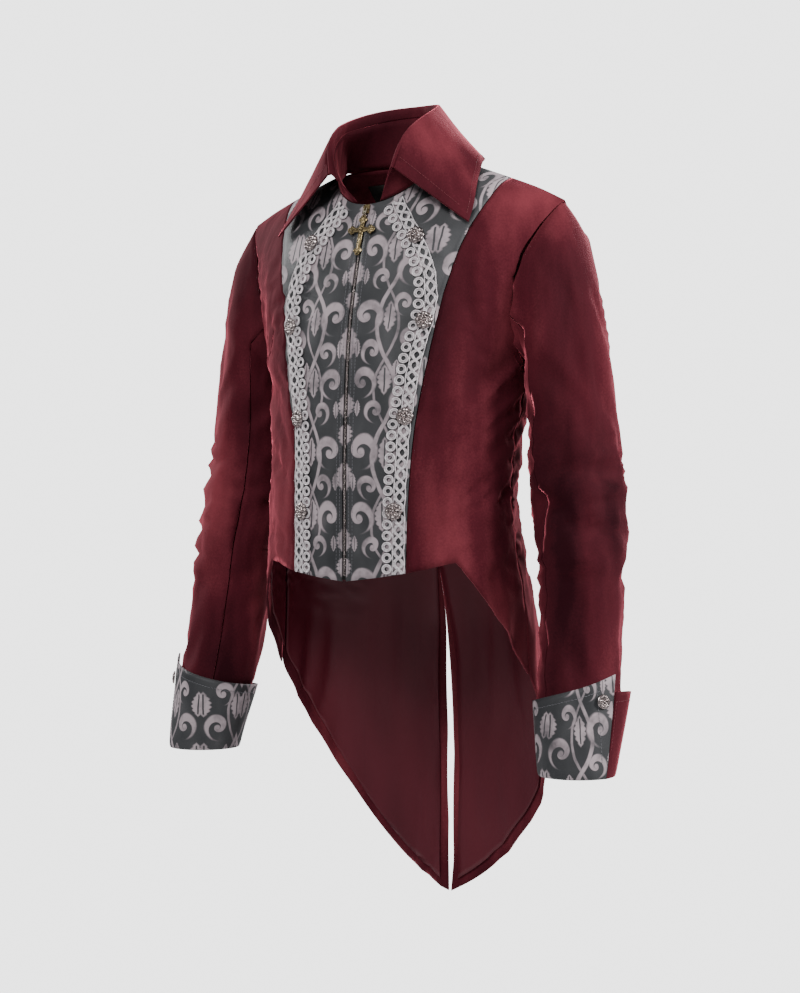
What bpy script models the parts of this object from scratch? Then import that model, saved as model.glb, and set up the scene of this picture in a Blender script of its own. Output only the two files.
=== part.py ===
# A cropped tailcoat that keeps the hollow shape of a wearer: velvet body, sleeves and tails,
# figured centre fronts with lace, a pointed collar, turned-back cuffs and a zip with a cross pull.
# Metres, +Z up. The wearer faces -Y and their left side is +X. The origin is between the neck
# points of the shoulder seams, where the wearer's shoulders carry the coat.
import math
from bisect import bisect_right
from collections import namedtuple
from functools import lru_cache

import bmesh
import bpy
from mathutils import Matrix, Vector

# Cloth and fitting sizes
VELVET_WALL = 0.0020
FIGURED_WALL = 0.0018
LINING_WALL = 0.0010
LACE_WALL = 0.0012
SEAM_GAP = 0.0006
BODY_GAP = 0.0012
LAYER_GAP = 0.0005
NORMAL_STEP = 0.002
SHOULDER_ROLL = 0.075
SHOULDER_ROLL_SPREAD = 0.35
ZIP_HALF_GAP = 0.0022
VENT_TOP = -0.548
FRONT_ROWS = 18
BACK_ROWS = 24
VENT_HALF_GAP = 0.0042

# Horizontal sections of the body and tails, with how square the front and back halves are
Section = namedtuple("Section", "z half_width front back front_square back_square")
BODY_SECTIONS = [
    Section(0.060, 0.226, -0.072, 0.034, 2.0, 2.2),
    Section(0.020, 0.228, -0.078, 0.052, 2.0, 2.2),
    Section(-0.020, 0.230, -0.086, 0.072, 2.0, 2.2),
    Section(-0.050, 0.228, -0.095, 0.086, 2.0, 2.3),
    Section(-0.100, 0.210, -0.112, 0.101, 2.0, 2.4),
    Section(-0.150, 0.190, -0.126, 0.107, 2.0, 2.4),
    Section(-0.200, 0.176, -0.136, 0.105, 2.0, 2.4),
    Section(-0.250, 0.165, -0.141, 0.097, 2.0, 2.4),
    Section(-0.300, 0.157, -0.144, 0.084, 1.9, 2.4),
    Section(-0.350, 0.153, -0.146, 0.071, 1.9, 2.4),
    Section(-0.400, 0.154, -0.146, 0.066, 2.0, 2.4),
    Section(-0.440, 0.158, -0.146, 0.072, 2.0, 2.4),
    Section(-0.480, 0.163, -0.147, 0.083, 2.0, 2.5),
    Section(-0.540, 0.167, -0.148, 0.097, 2.1, 2.5),
    Section(-0.600, 0.171, -0.146, 0.103, 2.2, 2.6),
    Section(-0.660, 0.172, -0.140, 0.106, 2.2, 3.0),
    Section(-0.720, 0.170, -0.135, 0.107, 2.2, 3.6),
    Section(-0.780, 0.166, -0.130, 0.108, 2.2, 4.0),
    Section(-0.900, 0.160, -0.130, 0.107, 2.2, 4.0),
]

# Line of the shoulder seam, from the neck outwards
Shoulder = namedtuple("Shoulder", "x y z")
SHOULDER_LINE = [
    Shoulder(0.000, -0.004, 0.036),
    Shoulder(0.040, -0.007, 0.024),
    Shoulder(0.080, -0.009, 0.009),
    Shoulder(0.130, -0.010, -0.010),
    Shoulder(0.180, -0.009, -0.030),
    Shoulder(0.213, -0.009, -0.047),
    Shoulder(0.260, -0.009, -0.070),
]

# Seam from mid shoulder to hem on each front, and the armhole edge in front and behind
Seam = namedtuple("Seam", "z x")
PRINCESS_SEAM = [
    Seam(0.000, 0.146),
    Seam(-0.040, 0.139),
    Seam(-0.080, 0.126),
    Seam(-0.150, 0.1085),
    Seam(-0.230, 0.0940),
    Seam(-0.310, 0.0800),
    Seam(-0.410, 0.0750),
    Seam(-0.500, 0.0735),
]
ARMHOLE_FRONT = [
    Seam(-0.040, 0.214),
    Seam(-0.048, 0.211),
    Seam(-0.077, 0.194),
    Seam(-0.108, 0.179),
    Seam(-0.146, 0.171),
    Seam(-0.176, 0.168),
]
ARMHOLE_BACK = [
    Seam(-0.040, 0.214),
    Seam(-0.048, 0.211),
    Seam(-0.077, 0.201),
    Seam(-0.108, 0.190),
    Seam(-0.146, 0.180),
    Seam(-0.176, 0.172),
]
UNDERARM_Z = -0.228
SIDE_SEAM_ANGLE = 94.0

# Top and bottom edges of the panels, by the share of the panel's width
Edge = namedtuple("Edge", "share z")
NECK_SHARE = 0.51
FRONT_NECK_DROP = [
    Edge(0.00, -0.055),
    Edge(0.13, -0.053),
    Edge(0.26, -0.043),
    Edge(0.39, -0.024),
    Edge(0.51, 0.000),
]
CENTRE_HEM = [Edge(0.0, -0.482), Edge(0.5, -0.4775), Edge(1.0, -0.472)]
SIDE_HEM = [
    Edge(0.00, -0.472),
    Edge(0.34, -0.460),
    Edge(0.48, -0.488),
    Edge(0.64, -0.520),
    Edge(0.82, -0.556),
    Edge(1.00, -0.590),
]
SIDE_HEM_CORNER = 0.34
BACK_NECK_SHARE = 0.30
BACK_NECK_RISE = [
    Edge(0.00, 0.006),
    Edge(0.15, 0.005),
    Edge(0.30, 0.000),
]
TAIL_HEM = [
    Edge(0.00, -0.877),
    Edge(0.10, -0.866),
    Edge(0.20, -0.848),
    Edge(0.30, -0.823),
    Edge(0.42, -0.780),
    Edge(0.54, -0.733),
    Edge(0.66, -0.688),
    Edge(0.85, -0.632),
    Edge(1.00, -0.590),
]

# Rings of a sleeve below the armhole, in the coat's left half: outer and inner side, centre, depth
Ring = namedtuple("Ring", "share outer_x outer_z inner_x inner_z centre_y half_depth")
SLEEVE_RINGS = [
    Ring(0.07, 0.2290, -0.078, 0.1715, -0.242, 0.000, 0.0680),
    Ring(0.15, 0.2400, -0.125, 0.1695, -0.256, -0.001, 0.0665),
    Ring(0.26, 0.2530, -0.190, 0.1675, -0.282, 0.000, 0.0630),
    Ring(0.38, 0.2630, -0.262, 0.1685, -0.322, 0.001, 0.0595),
    Ring(0.52, 0.2730, -0.345, 0.1745, -0.378, -0.003, 0.0560),
    Ring(0.66, 0.2820, -0.430, 0.1860, -0.446, -0.015, 0.0515),
    Ring(0.80, 0.2870, -0.520, 0.1925, -0.528, -0.027, 0.0500),
    Ring(0.92, 0.2910, -0.610, 0.2000, -0.612, -0.045, 0.0475),
    Ring(1.00, 0.2930, -0.684, 0.2110, -0.684, -0.065, 0.0420),
]
UPPER_SLEEVE_FROM = -62.0
UPPER_SLEEVE_TO = 118.0
UPPER_SLEEVE_COLUMNS = 8
UNDER_SLEEVE_COLUMNS = 7
SLEEVE_ROWS = 15
SLEEVE_GAP = 0.0014
SLEEVE_CLEARANCE = 0.0030
CLEAR_BELOW = -0.085
MITRE_LIMIT = 65.0
SHOULDER_MITRE = 0.0007

# Cuff: a stiff band turned back up the sleeve, higher at the front edge's corner
CUFF_FOOT_Z = -0.6930
CUFF_FOOT_FLARE = 0.0040
CUFF_EDGE_ANGLE = 18.0
CUFF_SPLIT_ANGLE = 262.0
CUFF_DROPS = [0.00, 0.45, 0.88, 0.93, 1.00]
CUFF_ROWS = [0.0, 0.2, 0.42, 0.65, 0.88, 0.93, 1.0]
Cuff = namedtuple("Cuff", "share height flare")
CUFF_FRONT = [
    Cuff(0.00, 0.113, 0.0085),
    Cuff(0.20, 0.098, 0.0080),
    Cuff(0.55, 0.080, 0.0075),
    Cuff(1.00, 0.073, 0.0075),
]
CUFF_BACK = [
    Cuff(0.00, 0.094, 0.0100),
    Cuff(0.35, 0.092, 0.0145),
    Cuff(1.00, 0.075, 0.0080),
]

# Largest folds: along a line on half the body, and at a place on a sleeve
DEG_PER_M = 320.0
Fold = namedtuple("Fold", "from_angle from_z to_angle to_z width height")
BODY_FOLDS = [
    Fold(72, -0.200, 38, -0.330, 4.5, -0.0040),
    Fold(78, -0.255, 46, -0.400, 4.5, 0.0045),
    Fold(82, -0.310, 48, -0.450, 4.5, -0.0040),
    Fold(50, -0.470, 88, -0.340, 4.0, 0.0035),
    Fold(100, -0.260, 150, -0.380, 6.0, -0.0040),
    Fold(98, -0.330, 140, -0.430, 5.0, 0.0040),
    Fold(118, -0.440, 128, -0.720, 7.0, 0.0050),
    Fold(146, -0.440, 152, -0.800, 7.0, -0.0045),
]
SleeveFold = namedtuple("SleeveFold", "angle share width length slant height")
SLEEVE_FOLDS = [
    SleeveFold(60, 0.16, 16, 0.16, 0.0000, -0.0035),
    SleeveFold(20, 0.20, 16, 0.20, 0.0000, 0.0030),
    SleeveFold(105, 0.24, 20, 0.18, 0.0006, 0.0030),
    SleeveFold(110, 0.60, 60, 0.022, 0.0010, -0.0045),
    SleeveFold(95, 0.68, 60, 0.024, -0.0008, 0.0040),
    SleeveFold(80, 0.86, 70, 0.022, 0.0006, -0.0045),
    SleeveFold(70, 0.93, 60, 0.016, -0.0004, 0.0035),
    SleeveFold(-110, 0.56, 50, 0.030, 0.0008, -0.0040),
    SleeveFold(-90, 0.80, 50, 0.028, -0.0008, 0.0035),
]

# Collar stations from one front end round the back to the other, on the left half
Collar = namedtuple("Collar", "share roll_x roll_y roll_z edge_x edge_y edge_z")
COLLAR = [
    Collar(0.00, 0.041, -0.110, -0.010, 0.128, -0.086, -0.076),
    Collar(0.20, 0.048, -0.101, 0.023, 0.125, -0.068, -0.052),
    Collar(0.36, 0.052, -0.082, 0.042, 0.119, -0.050, -0.027),
    Collar(0.55, 0.054, -0.051, 0.060, 0.109, -0.014, 0.009),
    Collar(0.78, 0.039, 0.006, 0.081, 0.078, 0.040, 0.012),
    Collar(1.00, 0.000, 0.031, 0.087, 0.000, 0.066, 0.008),
]
COLLAR_START = 0.09
COLLAR_GAP = 0.0008
COLLAR_SEAM_DROP = 0.012
FOLD_WIDTH = 0.0040
FALL_PLACES = [0.00, 0.16, 0.22, 0.28, 0.64, 1.00]
FALL_ROWS = [0.0, 0.08, 0.16, 0.20, 0.24, 0.28, 0.46, 0.73, 1.0]

# Lace: a column of rings along a path on each centre front, with a braid beside it
LACE_PATH = [
    Seam(-0.074, 0.0420),
    Seam(-0.092, 0.0550),
    Seam(-0.115, 0.0690),
    Seam(-0.140, 0.0785),
    Seam(-0.165, 0.0810),
    Seam(-0.190, 0.0775),
    Seam(-0.220, 0.0700),
    Seam(-0.260, 0.0635),
    Seam(-0.310, 0.0570),
    Seam(-0.360, 0.0545),
    Seam(-0.420, 0.0530),
    Seam(-0.4735, 0.0530),
]
LACE_GAP = 0.0013
LACE_PITCH = 0.0127
LACE_RING = 0.0060
LACE_RING_HOLE = 0.0028
LACE_BRAID = 0.0195
LACE_NOTCH = 1.0
LACE_EYE_CENTRE = 0.0125
LACE_EYE_LENGTH = 0.0100
LACE_EYE_WIDTH = 0.0048
MM = 0.001

# Buttons: four rosettes down each lace and one button on each cuff
ROSETTES = [
    Seam(-0.089, 0.0695),
    Seam(-0.187, 0.0885),
    Seam(-0.295, 0.0705),
    Seam(-0.402, 0.0605),
]
ROSETTE_RADIUS = 0.0105
ROSETTE_HEIGHT = 0.0045
ROSETTE_GAP = 0.0009
CUFF_BUTTON_RADIUS = 0.0080
CUFF_BUTTON_HEIGHT = 0.0035
CUFF_BUTTON_ANGLE = 34.0
CUFF_BUTTON_DROP = 0.20

# Zip: tape and chain behind the fronts' edges
TAPE_HALF_WIDTH = 0.012
CHAIN_HALF_WIDTH = 0.0018
CHAIN_WALL = 0.0016

# Slider, pull tab and cross in millimetres, on a frame that lies on the chest at the zip's top:
# x to the wearer's left, y into the chest, z up along it
PULL_HEIGHT = -0.0530
PULL_SPAN = 0.050
SLIDER_WING = Vector((8.5, 1.6, 11.0))
SLIDER_LIFT = 0.4
HINGE_LIFT = 3.4
BRIDGE_WIDTH = 1.4
BRIDGE_WALL = 0.9
BRIDGE_HOLE = (1.8, 2.4)
TAB_THICKNESS = 0.9
TAB_HALF_WIDTH = 2.3
TAB_WINDOW = (1.25, 0.45, 3.4)
TAB_HOLE = (6.0, 0.9)
TAB_LENGTH = 7.6
RING_RADIUS = 2.4
RING_WIRE = 0.4
CROSS_THICKNESS = 2.0
CROSS_HOLE = 1.0
CROSS_HOLE_INSET = 1.9
CROSS_UP = 18.5
CROSS_SIDE = 18.0
CROSS_DOWN = 32.0
CROSS_CORNER = 3.0
ArmPoint = namedtuple("ArmPoint", "from_end across")
CROSS_ARM = [
    ArmPoint(9.6, 2.5),
    ArmPoint(8.0, 4.6),
    ArmPoint(5.8, 5.8),
    ArmPoint(4.0, 4.9),
    ArmPoint(3.2, 3.4),
    ArmPoint(1.1, 3.0),
    ArmPoint(0.0, 1.2),
]

# Linings that show: inside the back of the neck and inside the tails
NECK_LINING_SHARE = 0.27
NECK_LINING_FOOT = -0.120
LINING_GAP = 0.0020
TAIL_LINING_TOP = -0.455
SIDE_LINING_TOP = -0.405
TAIL_FACING = 0.010
SIDE_LINING_SHARE = 0.42
LINING_SEAM = 0.015
TAIL_LINING_INSET = [
    Edge(0.00, 0.018),
    Edge(0.40, 0.022),
    Edge(0.70, 0.016),
    Edge(1.00, 0.012),
]

Part = namedtuple("Part", "colour roughness metallic")
VELVET = Part((0.20, 0.025, 0.035), 0.75, 0.0)
SATIN = Part((0.10, 0.015, 0.022), 0.45, 0.0)
FIGURED = Part((0.30, 0.27, 0.29), 0.45, 0.0)
LINING = Part((0.015, 0.015, 0.014), 0.6, 0.0)
LACE = Part((0.62, 0.56, 0.58), 0.7, 0.0)
BRASS = Part((0.42, 0.33, 0.16), 0.35, 1.0)
SILVER = Part((0.42, 0.36, 0.34), 0.35, 1.0)


def smooth_value(places, values, at):
    """Cubic curve through a table: values over rising places, with its end slopes kept outside."""
    last = len(places) - 1
    at = min(max(at, places[0]), places[last])
    i = 0
    while i < last - 1 and at > places[i + 1]:
        i += 1

    def slope(k):
        before, after = max(k - 1, 0), min(k + 1, last)
        return (values[after] - values[before]) / (places[after] - places[before])

    span = places[i + 1] - places[i]
    t = (at - places[i]) / span
    return (
        values[i] * (1 + 2 * t) * (1 - t) ** 2
        + slope(i) * span * t * (1 - t) ** 2
        + values[i + 1] * t * t * (3 - 2 * t)
        + slope(i + 1) * span * t * t * (t - 1)
    )


def read_table(table, key, column, at):
    rows = sorted(table, key=lambda row: getattr(row, key))
    places = [getattr(row, key) for row in rows]
    return smooth_value(places, [getattr(row, column) for row in rows], at)


def edge_height(edge, share):
    """Height of a cut edge, straight between the rows of its table."""
    for a, b in zip(edge, edge[1:]):
        if share <= b.share or b is edge[-1]:
            return a.z + (b.z - a.z) * (share - a.share) / (b.share - a.share)


@lru_cache(maxsize=None)
def body_section(z):
    return [
        read_table(BODY_SECTIONS, "z", column, z)
        for column in Section._fields[1:]
    ]


@lru_cache(maxsize=None)
def shoulder_at(x):
    return read_table(SHOULDER_LINE, "x", "y", x), read_table(SHOULDER_LINE, "x", "z", x)


def body_point(angle, z):
    """Outer face of the body, angle in degrees from the centre front towards the wearer's left.

    The angle is that of the section with its width and depth made equal."""
    half_width, front, back, front_square, back_square = body_section(round(z, 5))
    sine, cosine = math.sin(math.radians(angle)), math.cos(math.radians(angle))
    square = front_square if cosine > 0 else back_square
    reach = (abs(sine) ** square + abs(cosine) ** square) ** (-1 / square)
    x = half_width * reach * sine
    y = (front + back) / 2 - (back - front) / 2 * reach * cosine
    shoulder_y, shoulder_z = shoulder_at(round(abs(x), 5))
    roll = SHOULDER_ROLL + SHOULDER_ROLL_SPREAD * abs(x)
    below = min(max((shoulder_z - z) / roll, 0.0), 1.0)
    closing = math.sqrt(1 - (1 - below) ** 2)
    return Vector((x, shoulder_y + (y - shoulder_y) * closing, z))


@lru_cache(maxsize=None)
def angle_at(x, z, behind=False):
    """Angle at which the body's section reaches x, in front or behind."""
    half_width, _, _, front_square, back_square = body_section(round(z, 5))
    square = back_square if behind else front_square
    share = min(abs(x) / half_width, 1.0)
    depth = (1 - share**square) ** (1 / square)
    angle = math.degrees(math.atan2(share, depth))
    return 180 - angle if behind else angle


def princess_angle(z):
    return angle_at(round(read_table(PRINCESS_SEAM, "z", "x", z), 5), round(z, 5))


def armhole_angle(z, behind):
    """Edge of the armhole above the underarm, and the side seam below it."""
    table = ARMHOLE_BACK if behind else ARMHOLE_FRONT
    foot = table[-1]
    if z >= foot.z:
        return angle_at(round(read_table(table, "z", "x", z), 5), round(z, 5), behind)
    foot_angle = angle_at(foot.x, foot.z, behind)
    t = min((foot.z - z) / (foot.z - UNDERARM_Z), 1.0)
    return foot_angle + (SIDE_SEAM_ANGLE - foot_angle) * (1 - math.sqrt(1 - t * t))


def drag_fold(angle, z):
    """The largest folds of the body, as height over the plain form."""
    side = abs(angle) if abs(angle) <= 180 else 360 - abs(angle)
    height = 0.0
    for fold in BODY_FOLDS:
        run = math.hypot(fold.to_angle - fold.from_angle, (fold.to_z - fold.from_z) * DEG_PER_M)
        ua = (fold.to_angle - fold.from_angle) / run
        uz = (fold.to_z - fold.from_z) * DEG_PER_M / run
        da, dz = side - fold.from_angle, (z - fold.from_z) * DEG_PER_M
        along, across = da * ua + dz * uz, da * uz - dz * ua
        t = along / run
        if 0 < t < 1:
            height += fold.height * math.sin(math.pi * t) ** 2 * math.exp(-((across / fold.width) ** 2))
    return height


def plain_ring(ring, angle):
    """Point of a sleeve ring; angle 0 is the outer side and 90 the front."""
    turn = math.radians(angle)
    outer = Vector((ring.outer_x, 0, ring.outer_z))
    inner = Vector((ring.inner_x, 0, ring.inner_z))
    middle, reach = (outer + inner) / 2, (outer - inner) / 2
    point = middle + reach * math.cos(turn)
    point.y = ring.centre_y - ring.half_depth * math.sin(turn)
    return point


@lru_cache(maxsize=None)
def armhole_point(angle):
    """Point of the armhole's edge on the body, angle as on a sleeve ring."""
    turn = math.radians(angle)
    behind = math.sin(turn) < 0
    tip_z = SHOULDER_LINE[-2].z
    z = UNDERARM_Z + (tip_z - UNDERARM_Z) * (1 + math.cos(turn)) / 2
    return body_point(armhole_angle(z, behind), z)


def clear_of_body(point, clearance):
    """Moves a point of a sleeve sideways until it stands clear of the body below the armhole."""
    half_width, front, back, front_square, back_square = body_section(round(point.z, 5))
    centre, half_depth = (front + back) / 2, (back - front) / 2
    depth = abs(point.y - centre) / half_depth
    if depth < 1:
        square = front_square if point.y < centre else back_square
        width = half_width * (1 - depth**square) ** (1 / square)
        low = min(max((CLEAR_BELOW - point.z) / 0.04, 0.0), 1.0)
        lack = width + clearance - point.x
        if lack > 0:
            point.x += lack * low
    return point


def sleeve_point(angle, share):
    """Outer face of a sleeve, from the armhole at share 0 to its hem at share 1."""
    angle = round((angle + 180) % 360 - 180, 4)
    places = [0.0] + [ring.share for ring in SLEEVE_RINGS]
    points = [armhole_point(angle)] + [plain_ring(ring, angle) for ring in SLEEVE_RINGS]
    point = Vector([smooth_value(places, [p[axis] for p in points], share) for axis in range(3)])
    return clear_of_body(point, SEAM_GAP + SLEEVE_CLEARANCE * min(share / 0.04, 1.0))


def armhole_mitre(start):
    """How far a sleeve's inner edge is cut back so that it meets the body's edge squarely."""
    surface = sleeve_surface(start)

    def cut(s):
        angle = round((start - 180 * s + 180) % 360 - 180, 4)
        edge = armhole_point(angle)
        behind = math.sin(math.radians(angle)) < 0
        place_angle = armhole_angle(edge.z, behind)
        across = body_point(place_angle + 0.3, edge.z) - body_point(place_angle - 0.3, edge.z)
        down = body_point(place_angle, edge.z - 0.001) - edge
        body_normal = down.cross(across).normalized()
        sleeve_normal = surface_normal(surface, s, 0.0)
        leaving = surface(s, 0.01) - surface(s, 0.0)
        if leaving.dot(body_normal) > 0:
            return 0.0
        turn = min(body_normal.angle(sleeve_normal), math.radians(MITRE_LIMIT))
        return VELVET_WALL * math.tan(turn)

    return cut


def sleeve_fold(angle, share):
    height = 0.0
    angle = (angle + 180) % 360 - 180
    for fold in SLEEVE_FOLDS:
        apart = (angle - fold.angle + 180) % 360 - 180
        along = share - fold.share - fold.slant * apart
        height += fold.height * math.exp(-((along / fold.length) ** 2) - (apart / fold.width) ** 2)
    return height


FINISHES = {
    "velvet": VELVET,
    "satin": SATIN,
    "figured_cloth": FIGURED,
    "lining": LINING,
    "lace_thread": LACE,
    "brass": BRASS,
    "silver": SILVER,
}


def material_for(part, name):
    material = bpy.data.materials.get(name) or bpy.data.materials.new(name)
    material.use_nodes = True
    shader = material.node_tree.nodes["Principled BSDF"]
    shader.inputs["Base Color"].default_value = (*part.colour, 1)
    shader.inputs["Roughness"].default_value = part.roughness
    shader.inputs["Metallic"].default_value = part.metallic
    return material


def finish_object(name, mesh_or_bmesh, part, smooth=True):
    """Puts a mesh in the coat's collection under its node name."""
    mesh = mesh_or_bmesh
    if isinstance(mesh_or_bmesh, bmesh.types.BMesh):
        mesh = bpy.data.meshes.new(name)
        mesh_or_bmesh.to_mesh(mesh)
        mesh_or_bmesh.free()
    obj = bpy.data.objects.new(name, mesh)
    coat.objects.link(obj)
    part_name = next(key for key, value in FINISHES.items() if value is part)
    mesh.materials.clear()
    mesh.materials.append(material_for(part, part_name))
    if smooth:
        mesh.shade_smooth()
        mesh.set_sharp_from_angle(angle=math.radians(40))
    return obj


def surface_normal(point_of, s, t):
    """Outward normal of a surface whose s runs to the wearer's left and t downwards."""
    across = point_of(s + NORMAL_STEP, t) - point_of(s - NORMAL_STEP, t)
    low = max(t - NORMAL_STEP / 2, 0.0)
    down = point_of(s, low + NORMAL_STEP) - point_of(s, low)
    return down.cross(across).normalized()


def turn_outwards(shape):
    bmesh.ops.recalc_face_normals(shape, faces=shape.faces[:])
    if shape.calc_volume(signed=True) < 0:
        bmesh.ops.reverse_faces(shape, faces=shape.faces[:])


def cloth_wall(
    name, point_of, shares, drops, wall, part, lift=0.0, bump=None, gap=SEAM_GAP, mitre=None
):
    """A closed wall of cloth from a surface function: outer face first, inner face a wall below it.

    shares and drops are the surface's own coordinates at the grid lines, each from 0 to 1."""
    columns, rows = len(shares), len(drops)
    sheet = bmesh.new()
    bmesh.ops.create_grid(sheet, x_segments=columns - 1, y_segments=rows - 1, size=0.5)
    sheet.verts.ensure_lookup_table()
    place = sheet.verts.layers.float_vector.new("place")
    for vert in sheet.verts:
        i = round((vert.co.x + 0.5) * (columns - 1))
        j = round((0.5 - vert.co.y) * (rows - 1))
        vert[place] = (i, j, 0)
    inner = bmesh.ops.extrude_face_region(sheet, geom=sheet.faces[:], use_keep_orig=True)
    for item in inner["geom"]:
        if isinstance(item, bmesh.types.BMVert):
            item[place] = (item[place][0], item[place][1], 1)
    for vert in sheet.verts:
        i, j, depth = (round(v) for v in vert[place])
        s, t = shares[i], drops[j]
        point = point_of(s, t)
        normal = surface_normal(point_of, s, t)
        inset = Vector((0, 0, 0))
        nudge = 0.01
        if gap and i in (0, columns - 1):
            towards = point_of(s + (nudge if i == 0 else -nudge), t) - point
            inset += towards.normalized() * gap / 2
        if gap and j in (0, rows - 1):
            towards = point_of(s, t + (nudge if j == 0 else -nudge)) - point
            inset += towards.normalized() * gap / 2
            if mitre and j == 0 and depth:
                inset += towards.normalized() * mitre(s)
        height = lift + (bump(s, t) if bump else 0.0) - wall * depth
        vert.co = point + inset + normal * height
    turn_outwards(sheet)
    return finish_object(name, sheet, part)


def spread(count, power=1.0):
    return [(i / count) ** power for i in range(count + 1)]


def mirrored(point_of):
    """The same surface on the wearer's right, with its s still running to their left."""

    def point(s, t):
        found = point_of(1 - s, t)
        return Vector((-found.x, found.y, found.z))

    return point


def mirrored_function(function):
    return (lambda s, t: function(1 - s, t)) if function else None


def build_pair(
    name, point_of, shares, drops, wall, part, lift=0.0, bump=None, gap=SEAM_GAP, mitre=None
):
    """One panel and its mirror image on the other side."""
    cloth_wall(f"{name}_left", point_of, shares, drops, wall, part, lift, bump, gap, mitre)
    cloth_wall(
        f"{name}_right",
        mirrored(point_of),
        [1 - s for s in reversed(shares)],
        drops,
        wall,
        part,
        lift,
        mirrored_function(bump),
        gap,
        (lambda s: mitre(1 - s)) if mitre else None,
    )


def shoulder_height(angle_of, z):
    """Height at which a panel's line of angles meets the shoulder seam."""
    for _ in range(12):
        z = shoulder_at(round(abs(body_point(angle_of(z), z).x), 6))[1]
    return z


def between(start_of, end_of, share):
    return lambda z: start_of(z) + (end_of(z) - start_of(z)) * share


def zip_angle(z):
    return angle_at(ZIP_HALF_GAP, round(z, 5))


def front_armhole(z):
    return armhole_angle(z, False)


def back_armhole(z):
    return armhole_angle(z, True)


def centre_front_place(s, t):
    """Angle and height on the figured centre front, from the zip to the princess seam."""
    angle_of = between(zip_angle, princess_angle, s)
    if s < NECK_SHARE:
        neck = between(zip_angle, princess_angle, NECK_SHARE)
        top = shoulder_height(neck, 0.0) + edge_height(FRONT_NECK_DROP, s)
    else:
        top = shoulder_height(angle_of, 0.0)
    z = top + (edge_height(CENTRE_HEM, s) - top) * t
    return angle_of(z), z


def side_front_place(s, t):
    """Angle and height on the velvet side front, from the princess seam to the side seam."""
    angle_of = between(princess_angle, front_armhole, s)
    top = shoulder_height(angle_of, 0.0)
    z = top + (edge_height(SIDE_HEM, s) - top) * t
    return angle_of(z), z


def vent_half_gap(z):
    """Half the gap between the tails: none above the vent, widest half way down."""
    down = min(max((VENT_TOP - z) / (VENT_TOP - TAIL_HEM[0].z), 0.0), 1.0)
    return VENT_HALF_GAP * math.sin(math.pi * min(down * 0.9, 1.0)) ** 0.7 if down else 0.0


def centre_back(z):
    return angle_at(round(vent_half_gap(z), 6), round(z, 5), True)


def back_place(s, t):
    """Angle and height on a back with its tail, from the side seam to the centre back."""
    inward = 1 - s
    angle_of = between(back_armhole, centre_back, s)
    if inward < BACK_NECK_SHARE:
        neck = between(back_armhole, centre_back, 1 - BACK_NECK_SHARE)
        top = shoulder_height(neck, 0.0) + edge_height(BACK_NECK_RISE, inward)
    else:
        top = shoulder_height(angle_of, 0.0)
    z = top + (edge_height(TAIL_HEM, inward) - top) * t
    return angle_of(z), z


def on_body(place):
    return lambda s, t: body_point(*place(s, t))


def body_bump(place):
    return lambda s, t: drag_fold(*place(s, t))


FRONT_PANEL = (
    centre_front_place,
    [0.0, 0.13, 0.26, 0.39, NECK_SHARE, 0.75, 1.0],
    spread(FRONT_ROWS, 1.4),
)
SIDE_PANEL = (
    side_front_place,
    [0.0, 0.17, SIDE_HEM_CORNER, 0.46, 0.58, 0.7, 0.82, 0.91, 1.0],
    spread(FRONT_ROWS, 1.4),
)
BACK_PANEL = (
    back_place,
    [0.0, 0.10, 0.22, 0.34, 0.46, 0.58, 1 - BACK_NECK_SHARE, 0.85, 1.0],
    spread(BACK_ROWS, 1.35),
)


def shoulder_mitre(_):
    return SHOULDER_MITRE


def build_body():
    for name, panel, wall, part in (
        ("front_centre", FRONT_PANEL, FIGURED_WALL, FIGURED),
        ("front_side", SIDE_PANEL, VELVET_WALL, VELVET),
        ("back", BACK_PANEL, VELVET_WALL, VELVET),
    ):
        place, shares, drops = panel
        surface, bump = on_body(place), body_bump(place)
        build_pair(
            name, surface, shares, drops, wall, part, bump=bump, gap=BODY_GAP, mitre=shoulder_mitre
        )


def sleeve_surface(start):
    """Half a sleeve: s runs back over half a turn from the start angle, t from armhole to hem."""
    return lambda s, t: sleeve_point(start - 180 * s, t)


def sleeve_bump(start):
    return lambda s, t: sleeve_fold(start - 180 * s, t)


def build_sleeves():
    for name, start, columns in (
        ("sleeve_upper", UPPER_SLEEVE_TO, UPPER_SLEEVE_COLUMNS),
        ("sleeve_under", UPPER_SLEEVE_FROM + 360, UNDER_SLEEVE_COLUMNS),
    ):
        build_pair(
            name,
            sleeve_surface(start),
            spread(columns),
            spread(SLEEVE_ROWS),
            VELVET_WALL,
            VELVET,
            bump=sleeve_bump(start),
            gap=SLEEVE_GAP,
            mitre=armhole_mitre(start),
        )


def cuff_point(angle, rise, offset):
    """Point round the end of a sleeve, a rise above the cuff's foot and an offset off the sleeve."""
    z = CUFF_FOOT_Z + rise
    hem_z = SLEEVE_RINGS[-1].outer_z
    point = sleeve_point(angle, 1.0 - max(z - hem_z, 0.0))
    point.z = z
    turn = math.radians(angle)
    last = SLEEVE_RINGS[-1]
    half_width = (last.outer_x - last.inner_x) / 2
    outward = Vector((math.cos(turn) / half_width, -math.sin(turn) / last.half_depth, 0))
    return point + outward.normalized() * offset


def cuff_surface(start, stop, table):
    """A part of a cuff between two angles: down its outside, then in below the sleeve's hem."""

    def point(s, t):
        share = s if table is CUFF_BACK else 1 - s
        height = read_table(table, "share", "height", share)
        flare = read_table(table, "share", "flare", share)
        foot = CUFF_FOOT_FLARE
        rise = smooth_value(CUFF_DROPS, [height, height * 0.5, 0.003, 0.0, 0.0002], t)
        offset = smooth_value(CUFF_DROPS, [flare, (flare + foot) / 2, foot, foot - 0.0015, -0.0015], t)
        return cuff_point(start + (stop - start) * s, rise, offset)

    return point


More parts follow.
